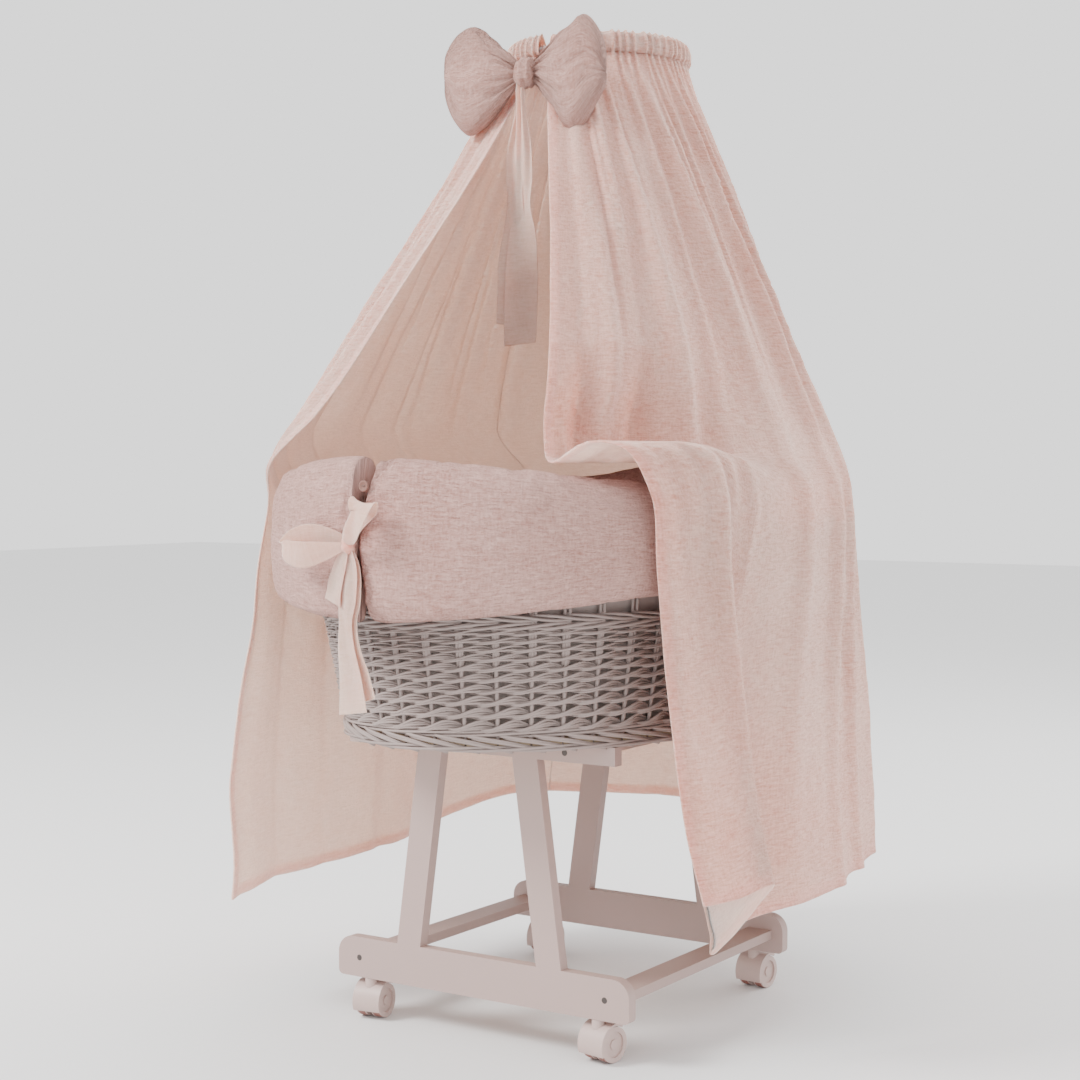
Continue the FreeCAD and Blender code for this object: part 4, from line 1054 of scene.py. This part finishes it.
class BASSINET_OT_tie(Operator):
    """Ties the sheer ribbon bow over the gap between the flaps, and sews on the round button"""
    bl_idname = "bassinet.tie"
    bl_label = "Tie and Button"

    def execute(self, context):
        y = -0.5145
        knot = np.array([-0.010, y, 0.724])
        # Each loop is a ring of ribbon: (x, distance out of the flap, z) in millimetres from the knot.
        left = np.array([(0, 4, 3), (-28, 3, 8), (-62, 4, 9), (-92, 7, 3), (-108, 13, -5), (-94, 22, -11),
                         (-62, 26, -15), (-28, 18, -9), (0, 11, -2)], float)
        right = np.array([(0, 4, 3), (8, 2, 18), (20, 3, 37), (30, 9, 50), (37, 21, 54), (40, 32, 43),
                          (31, 34, 23), (14, 24, 7), (0, 11, 0)], float)
        short = np.array([(-2, 8, -4), (-9, 9, -22), (-17, 7, -42), (-23, 5, -60), (-28, 4, -78)], float)
        long = np.array([(2, 8, -6), (4, 9, -34), (0, 9, -70), (-3, 8, -104), (0, 10, -140), (8, 13, -180),
                         (14, 14, -222)], float)
        under = np.array([(4, 5, -6), (9, 5, -34), (8, 4, -70), (4, 4, -104), (9, 6, -140), (20, 6, -176),
                          (28, 7, -206)], float)
        for label, line, widths, tilt, seed in (
                ("left_loop", left, (4, 11, 17, 15, 7, 15, 18, 12, 4), (0.05, -0.2, 1.0), 71),
                ("right_loop", right, (4, 11, 17, 20, 20, 18, 15, 10, 4), (1.0, -0.25, -0.15), 73),
                ("short_tail", short, (5, 12, 15, 17, 19), (0.95, -0.3, 0.05), 75),
                ("long_tail", long, (6, 16, 19, 13, 18, 25, 30), (0.97, -0.25, 0.0), 77),
                ("under_tail", under, (5, 13, 17, 11, 15, 21, 24), (0.95, -0.3, 0.05), 79)):
            knots = np.linspace(0, 1, len(line))
            s = np.linspace(0, 1, 150)
            path = through(knots, line, s)
            path = knot + np.stack([path[:, 0], -path[:, 1], path[:, 2]], -1) * MM
            ahead = unit(np.gradient(path, axis=0))
            lean = np.array(tilt, float)
            spread = unit(lean - (ahead @ lean)[:, None] * ahead)
            width = through(knots, np.array(widths, float), s) * MM
            piece, points = ribbon("tie_" + label, path, spread * width[:, None], MATERIALS["ribbon"], 0.0007, 0.0011, seed)
            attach(piece, "stand")
            area = cloth_area(points)
            wide = max(widths) * 2 * MM
        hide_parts("tie_bow")
        self.knot(knot)
        self.button()
        return {"FINISHED"}

    def knot(self, centre):
        """Small wrapped knot: a rounded lump with three turns of folded ribbon."""
        v = np.linspace(0.02, math.pi - 0.02, 36)[:, None]
        angle = (np.arange(48) * TAU / 48)[None, :]
        swell = 1 + 0.10 * np.cos(6 * v + 1.5 * np.sin(angle)) + 0.04 * wander(angle * 2, v * 3, 81, 6, 1.2)
        x, y, z = 10 * np.sin(v) * np.cos(angle), 9.5 * np.sin(v) * np.sin(angle), 13.5 * np.cos(v) + 0 * angle
        points = centre + np.array([0, -0.006, -0.001]) + np.stack([x * swell, -y * swell, z], -1) * MM
        uv = np.stack(np.broadcast_arrays(angle * 0.01, v * 0.014), -1)
        knot = mesh_piece("tie_knot", points, np.concatenate([
            grid_quads(36, 48, around=True), cap_quads(0, 48)[:, ::-1], cap_quads(35 * 48, 48)]), MATERIALS["ribbon"], uv)
        weld(knot)
        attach(knot, "stand")

    def button(self):
        """Dished button: a turned profile about its axis, with two near-black discs as painted shade for its thread
        holes, crossed by a stitch.
        """
        low, high = node_box("flap_button")
        centre = (low + high) / 2
        centre[1] = low[1] - 0.001
        profile = np.array([(0.05, 1.0), (3.2, 1.0), (4.2, 1.4), (5.4, 2.2), (6.6, 2.4), (7.4, 1.8), (7.6, 0.9), (7.1, 0.1),
                            (5.5, -0.4), (0.05, -0.4)]) * MM
        around = np.arange(48) * TAU / 48
        points = centre + np.stack([np.outer(profile[:, 0], np.cos(around)), -np.outer(profile[:, 1], np.ones(48)),
                                    np.outer(profile[:, 0], np.sin(around))], -1)
        button = weld(surface("button", points, MATERIALS["button"], None, around=True))
        # Painted shade: short near-black discs in the screws' material stand on the dish for the shaded insides of the
        # thread holes.
        holes = np.array([[(-1.6, -1.25, 0.0), (-1.6, -1.0, 0.1)], [(1.6, -1.25, 0.0), (1.6, -1.0, 0.1)]]) * MM + centre
        dark = rods("button_hole_shade", holes, 0.0011, MATERIALS["screw"], 10)
        thread = np.array([[(-1.6, -1.3, 0), (-0.8, -1.9, 0), (0, -2.05, 0), (0.8, -1.9, 0), (1.6, -1.3, 0)]]) * MM + centre
        stitch = rods("button_thread", thread, 0.0004, MATERIALS["flap"], 8)
        for piece in (button, dark, stitch):
            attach(piece, "stand")
        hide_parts("flap_button")


# ---------------------------------------------------------------------- the basket

STAKES = 48
# Outer oval of the wall at each height, in millimetres: (height, half-width, half-length).
WALL = np.array([(441, 284, 416), (455, 280, 412), (625, 317, 447), (778, 341, 472), (800, 343, 474)], float)


def even_ovals(steps):
    """Angles that step evenly along the length of the wall's middle oval."""
    fine = np.linspace(0, TAU, 4001)
    pace = np.hypot(317 * np.sin(fine), 447 * np.cos(fine))
    length = np.concatenate([[0], np.cumsum((pace[1:] + pace[:-1]) / 2)])
    return np.interp(steps, length / length[-1], fine)


def wall_point(turn, z, inset):
    """Point on the wall at a share of the way round, at a height, moved outwards by its inset; in millimetres."""
    turn, z, inset = np.broadcast_arrays(turn, z, inset)
    angle = even_ovals(np.mod(turn, 1.0))
    a = np.interp(z, WALL[:, 0], WALL[:, 1])
    b = np.interp(z, WALL[:, 0], WALL[:, 2])
    cos, sin = np.cos(angle), np.sin(angle)
    out = unit(np.stack([cos / a, sin / b], -1))
    return np.stack([a * cos + out[..., 0] * inset, b * sin + out[..., 1] * inset, z], -1)


def twined_row(z, rods_in_strand, fan, rise, swing, samples=6, seed=0):
    """Two strands that pass in front of and behind the stakes by turns: cos(pi s) in and out, sin(pi s) up and down.

    The rods of a strand draw together at each stake and fan out between stakes."""
    s = np.arange(STAKES * samples) / samples
    rng = np.random.default_rng(seed)
    paths = []
    for strand in (0, 1):
        phase = math.pi * (s + strand)
        for j in range(rods_in_strand):
            step = j - (rods_in_strand - 1) / 2
            spread = fan * step * (1 - 0.50 * np.cos(phase) ** 2) + 0.35 * np.sin(s * 1.7 + 9 * j + seed + strand)
            slant = 0.5 * fan * step * np.sin(phase)
            height = z + spread + slant + rise * np.sin(phase)
            shape = np.cos(phase) - 0.10 * np.cos(3 * phase)
            inset = -5.0 + swing * shape + 0.5 * np.sin(s * 0.9 + j * 2 + seed) + rng.normal(0, 0.25)
            paths.append(wall_point(s / STAKES, height, inset))
    return np.stack(paths) * MM


def wale(z, strands, radius, pitch, seed, swing=3.0, rise=3.6):
    """A rope row: strands that wind round one another, in and out by cos and up and down by sin."""
    s = np.arange(STAKES * 8) / 8
    paths = []
    for k in range(strands):
        phase = TAU * (s / pitch + k / strands)
        paths.append(wall_point(s / STAKES, z + rise * np.sin(phase), -2.5 + swing * np.cos(phase)
                                + 0.3 * np.sin(s * 1.3 + seed)))
    return np.stack(paths) * MM


def basket_rods(name, paths, radius, material="wicker", sides=6, closed=True):
    """Rods of the basket, riding on the stand."""
    piece = rods(name, paths, radius, MATERIALS[material], sides, closed=closed)
    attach(piece, "stand")
    return piece


class BASSINET_OT_basket(Operator):
    """Weaves the oval basket: stakes, twined rows, rope wales, the slanted foot border and the plaited rim"""
    bl_idname = "bassinet.basket"
    bl_label = "Basket"

    def execute(self, context):
        size = context.scene.bassinet_basket
        r = size.rod_radius / MM
        rows = self.weave(size)
        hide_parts("basket_wall")
        self.stakes(r)
        self.foot(r)
        self.rim(r)
        return {"FINISHED"}

    def weave(self, size):
        """Eleven rows, closer together and of thinner strands towards the top."""
        r = size.rod_radius / MM
        z = 474.0
        made = []
        lower, upper = [], []
        for row in range(size.rows):
            share = row / (size.rows - 1)
            pitch = 18.5 - 9.5 * share ** 0.9
            count = 4 if share < 0.18 else 3 if share < 0.62 else 2
            fan = pitch / 2 / count * 1.12
            paths = twined_row(z, count, fan, pitch * 0.24, 5.6, seed=100 + row)
            (lower if row < size.rows // 2 else upper).append(paths)
            z += pitch
        self.top_of_weave = z
        for label, group, thick in (("lower", lower[:3], 0.84), ("middle", lower[3:] + upper[:1], 0.76),
                                    ("upper", upper[1:], 0.68)):
            made.append(basket_rods("weave_" + label, np.concatenate(group), r * MM * thick, sides=5))
        ropes = np.concatenate([wale(613.5, 3, r, 3.0, 5), wale(624.5, 3, r, 3.0, 8, rise=-3.6)])
        made.append(basket_rods("weave_ropes", ropes, 0.0025, sides=5))
        return made

    def stakes(self, r):
        """Single upright rods below, and a pair side by side above and through the open band."""
        at = (np.arange(STAKES) + 0.0) / STAKES
        wobble = 0.00022 * np.sin(np.arange(STAKES) * 2.4)
        z = np.linspace(446, 632, 16)
        low = wall_point((at + wobble)[:, None], z[None, :], -5.5)
        basket_rods("stakes_low", low * MM, 0.0031, sides=8, closed=False)
        z = np.linspace(560, 786, 18)
        pairs = []
        for shift, lean in ((-1, 0.0), (1, 0.0)):
            gap = shift * 3.4 / 2480 * (1 + 0.25 * np.sin(np.arange(STAKES) * 1.9 + shift))
            pairs.append(wall_point((at + wobble + gap)[:, None], z[None, :], -5.5 + 0.4 * shift))
        basket_rods("stakes_high", np.concatenate(pairs) * MM, 0.0026, sides=8, closed=False)

    def foot(self, r):
        """Pairs of long slanting strokes that lap one another round the foot, under two rope wales."""
        strokes = []
        s = np.linspace(0, 1, 22)
        for k in range(STAKES):
            for pair in range(2):
                turn = (k + 0.16 * pair + s * 2.3) / STAKES
                z = 464 - 20 * s - 3.4 * pair + 2.0 * np.sin(math.pi * s)
                inset = -3.5 + 8.0 * np.sin(math.pi * s ** 0.8) ** 0.8 - 5.0 * s
                strokes.append(wall_point(turn, z, inset))
        strokes = np.stack(strokes) * MM
        border = basket_rods("foot_border", strokes, 0.0024, sides=6, closed=False)
        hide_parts("basket_foot_border")
        ropes = np.concatenate([wale(466.0, 3, r, 9.0, 15, swing=2.4, rise=3.0), wale(446.0, 3, r, 7.0, 17, swing=3.0, rise=2.6)])
        basket_rods("foot_wale", ropes, 0.0021, sides=6)

    def rim(self, r):
        """Plait of three pairs of rods over the top of the stakes."""
        s = np.arange(STAKES * 8) / 8
        paths = []
        for k in range(4):
            for j in (-1, 1):
                phase = TAU * (s / 4 + k / 4)
                inset = -3.0 + 4.6 * np.sin(phase) + 1.4 * j
                z = 787 + 4.4 * np.sin(2 * phase + 0.6) + 1.2 * j
                paths.append(wall_point(s / STAKES, z, inset))
        rim = basket_rods("rim_plait", np.stack(paths) * MM, 0.0027, sides=6)
        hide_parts("basket_top_border")


# --------------------------------------------------------------------- the bedding


class BASSINET_OT_bedding(Operator):
    """Lines the basket with lightly gathered cotton and lays the mattress in it"""
    bl_idname = "bassinet.bedding"
    bl_label = "Liner and Mattress"

    def execute(self, context):
        self.liner()
        self.mattress()
        return {"FINISHED"}

    def liner(self):
        """Cloth wall just inside the rods: the oval moved in, with shallow gathers."""
        turn = (np.arange(720) / 720)[None, :]
        z = np.linspace(470, 792, 60)[:, None]
        gathers = 1.5 * np.cos(TAU * 96 * turn + 2 * wander(turn * 20, z / 90, 91, 5, 1.0)) * ease(560, 780, z)
        inset = -14.5 - 12 * (1 - ease(560, 650, z)) + gathers + 1.2 * wander(turn * 60, z / 70, 92, 6, 1.2)
        points = wall_point(turn, z + 0 * turn, inset) * MM
        normals = cloth_normals(points)
        rows, cols = points.shape[:2]
        closed = np.concatenate([points + normals * 0.0007, (points - normals * 0.0007)[::-1]], 0)
        around = (turn * 2.4) + 0 * z
        uv = np.stack([around, (z + 0 * turn) * MM], -1)
        uv = np.concatenate([uv, uv[::-1]], 0)
        liner = mesh_piece("cotton_liner", closed, grid_quads(2 * rows, cols, around=True, along=True),
                           MATERIALS["liner"], uv)
        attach(liner, "stand")
        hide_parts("liner")

    def mattress(self):
        """Soft oval pad: a rounded rectangle section swept to the middle, with a crowned top."""
        low, high = node_box("mattress")
        centre, half = (low + high) / 2, (high - low) / 2
        across = np.array([(0.02, -1.0), (0.3, -1.0), (0.6, -1.0), (0.8, -1.0), (0.9, -1.0), (0.96, -0.93), (0.99, -0.75),
                           (1.0, -0.4), (1.0, 0.0), (1.0, 0.4), (0.99, 0.75), (0.96, 0.92), (0.9, 1.0), (0.8, 1.0),
                           (0.6, 1.0), (0.3, 1.0), (0.02, 1.0)])
        s = np.linspace(0, 1, 90)
        profile = through(np.linspace(0, 1, len(across)), across, s)
        angle = (np.arange(240) * TAU / 240)[None, :]
        reach, level = profile[:, :1], profile[:, 1:]
        x = centre[0] + half[0] * reach * np.cos(angle)
        y = centre[1] + half[1] * reach * np.sin(angle)
        top = np.maximum(level, 0)
        z = centre[2] + half[2] * level * (1 - 0.10 * reach ** 4 * top) \
            - 0.0016 * (1 + wander(x * 9, y * 9, 95, 8, 1.2)) * top
        points = np.stack([x, y, z + 0 * angle], -1)
        uv = np.stack([x, y + z * 0 + s[:, None] * 0.1], -1)
        rows = len(s)
        quads = np.concatenate([grid_quads(rows, 240, around=True), cap_quads(0, 240)[:, ::-1],
                                cap_quads((rows - 1) * 240, 240)])
        pad = weld(mesh_piece("soft_mattress", points, quads, MATERIALS["mattress"], uv))
        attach(pad, "stand")
        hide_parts("mattress")


# ---------------------------------------------------------------- sizes and panel


class BassinetLooks(PropertyGroup):
    drape_colour: FloatVectorProperty(name="Drape", description="Colour of the drape's muslin", subtype="COLOR",
                                      default=(0.90, 0.505, 0.43), min=0, max=1)
    # Painted light: the inner side's colour is lighter than the drape's to stand for light shining through the muslin.
    inside_glow_colour: FloatVectorProperty(name="Drape Inside", description="Colour of the drape's inner side",
                                       subtype="COLOR", default=(0.94, 0.605, 0.53), min=0, max=1)
    flap_colour: FloatVectorProperty(name="Flaps", description="Colour of the padded flaps", subtype="COLOR",
                                     default=(0.84, 0.525, 0.465), min=0, max=1)
    bow_colour: FloatVectorProperty(name="Bow", description="Colour of the stuffed bow", subtype="COLOR",
                                    default=(0.60, 0.37, 0.32), min=0, max=1)
    ribbon_colour: FloatVectorProperty(name="Ribbons", description="Colour of the sheer ribbons", subtype="COLOR",
                                       default=(0.95, 0.50, 0.41), min=0, max=1)
    paint_colour: FloatVectorProperty(name="Paint", description="Colour of the painted timber", subtype="COLOR",
                                      default=(0.42, 0.302, 0.276), min=0, max=1)
    wicker_colour: FloatVectorProperty(name="Wicker", description="Colour of the painted rods", subtype="COLOR",
                                       default=(0.32, 0.253, 0.236), min=0, max=1)
    castor_colour: FloatVectorProperty(name="Castors", description="Colour of the castors", subtype="COLOR",
                                       default=(0.52, 0.39, 0.357), min=0, max=1)


class BassinetDrape(PropertyGroup):
    gathers: IntProperty(name="Gathers", description="Small pleats round the ring", default=64, min=8, max=120)
    folds: IntProperty(name="Folds", description="Long folds that fan out from the ring", default=21, min=4, max=60)
    hem_wave: FloatProperty(name="Hem Wave", description="Swing of the broad waves at the hem", default=0.016,
                            subtype="DISTANCE", unit="LENGTH")
    thickness: FloatProperty(name="Thickness", description="Thickness of the cloth", default=0.0012,
                             subtype="DISTANCE", unit="LENGTH")
    panel_width: FloatProperty(name="Panel Width", description="Cut width of one of the three panels", default=0.64,
                               subtype="DISTANCE", unit="LENGTH")
    cut_length: FloatProperty(name="Cut Length", description="Cut length of a panel from heading to hem",
                              default=1.36, subtype="DISTANCE", unit="LENGTH")


class BassinetFlaps(PropertyGroup):
    slack: FloatProperty(name="Slack", description="Cloth beyond what the filling needs, as a share", default=0.05,
                         min=0, max=0.2)
    puff: FloatProperty(name="Puff", description="Unevenness of the padding", default=0.0022, subtype="DISTANCE",
                        unit="LENGTH")


class BassinetBow(PropertyGroup):
    slack: FloatProperty(name="Slack", description="Cloth beyond what the filling needs, as a share", default=0.07,
                         min=0, max=0.2)
    loop_depth: FloatProperty(name="Loop Depth", description="Half the thickness of a stuffed loop", default=0.025,
                              subtype="DISTANCE", unit="LENGTH")
    tail_width: FloatProperty(name="Tail Width", description="Width of a tail at its end", default=0.048,
                              subtype="DISTANCE", unit="LENGTH")


class BassinetBasket(PropertyGroup):
    rod_radius: FloatProperty(name="Rod Radius", description="Radius of a woven rod", default=0.0023,
                              subtype="DISTANCE", unit="LENGTH")
    rows: IntProperty(name="Rows", description="Twined rows between the foot and the rope wales", default=11, min=5,
                      max=16)


OPERATORS = (BASSINET_OT_drape, BASSINET_OT_stand, BASSINET_OT_flaps, BASSINET_OT_bow, BASSINET_OT_tie,
             BASSINET_OT_basket, BASSINET_OT_bedding, BASSINET_OT_stage)
GROUPS_OF_SIZES = (("bassinet_looks", BassinetLooks), ("bassinet_drape", BassinetDrape),
             ("bassinet_flaps", BassinetFlaps), ("bassinet_bow", BassinetBow),
             ("bassinet_basket", BassinetBasket))


class BASSINET_PT_panel(Panel):
    """Lists every piece of the bassinet with its sizes"""
    bl_idname = "BASSINET_PT_panel"
    bl_label = "Bassinet on Stand"
    bl_space_type = "VIEW_3D"
    bl_region_type = "UI"
    bl_category = "Bassinet"

    def draw(self, context):
        for attribute, kind in GROUPS_OF_SIZES:
            box = self.layout.box()
            for name in kind.__annotations__:
                box.prop(getattr(context.scene, attribute), name)
        for operator in OPERATORS:
            self.layout.operator(operator.bl_idname)


def register():
    for _, kind in GROUPS_OF_SIZES:
        bpy.utils.register_class(kind)
    for operator in OPERATORS:
        bpy.utils.register_class(operator)
    bpy.utils.register_class(BASSINET_PT_panel)
    for attribute, kind in GROUPS_OF_SIZES:
        setattr(bpy.types.Scene, attribute, PointerProperty(type=kind))


def unregister():
    for attribute, _ in GROUPS_OF_SIZES:
        delattr(bpy.types.Scene, attribute)
    bpy.utils.unregister_class(BASSINET_PT_panel)
    for operator in reversed(OPERATORS):
        bpy.utils.unregister_class(operator)
    for _, kind in reversed(GROUPS_OF_SIZES):
        bpy.utils.unregister_class(kind)


def main():
    register()
    make_materials(bpy.context.scene.bassinet_looks)
    for operator in OPERATORS:
        getattr(bpy.ops.bassinet, operator.bl_idname.split(".")[1])()


if __name__ == "__main__":
    main()
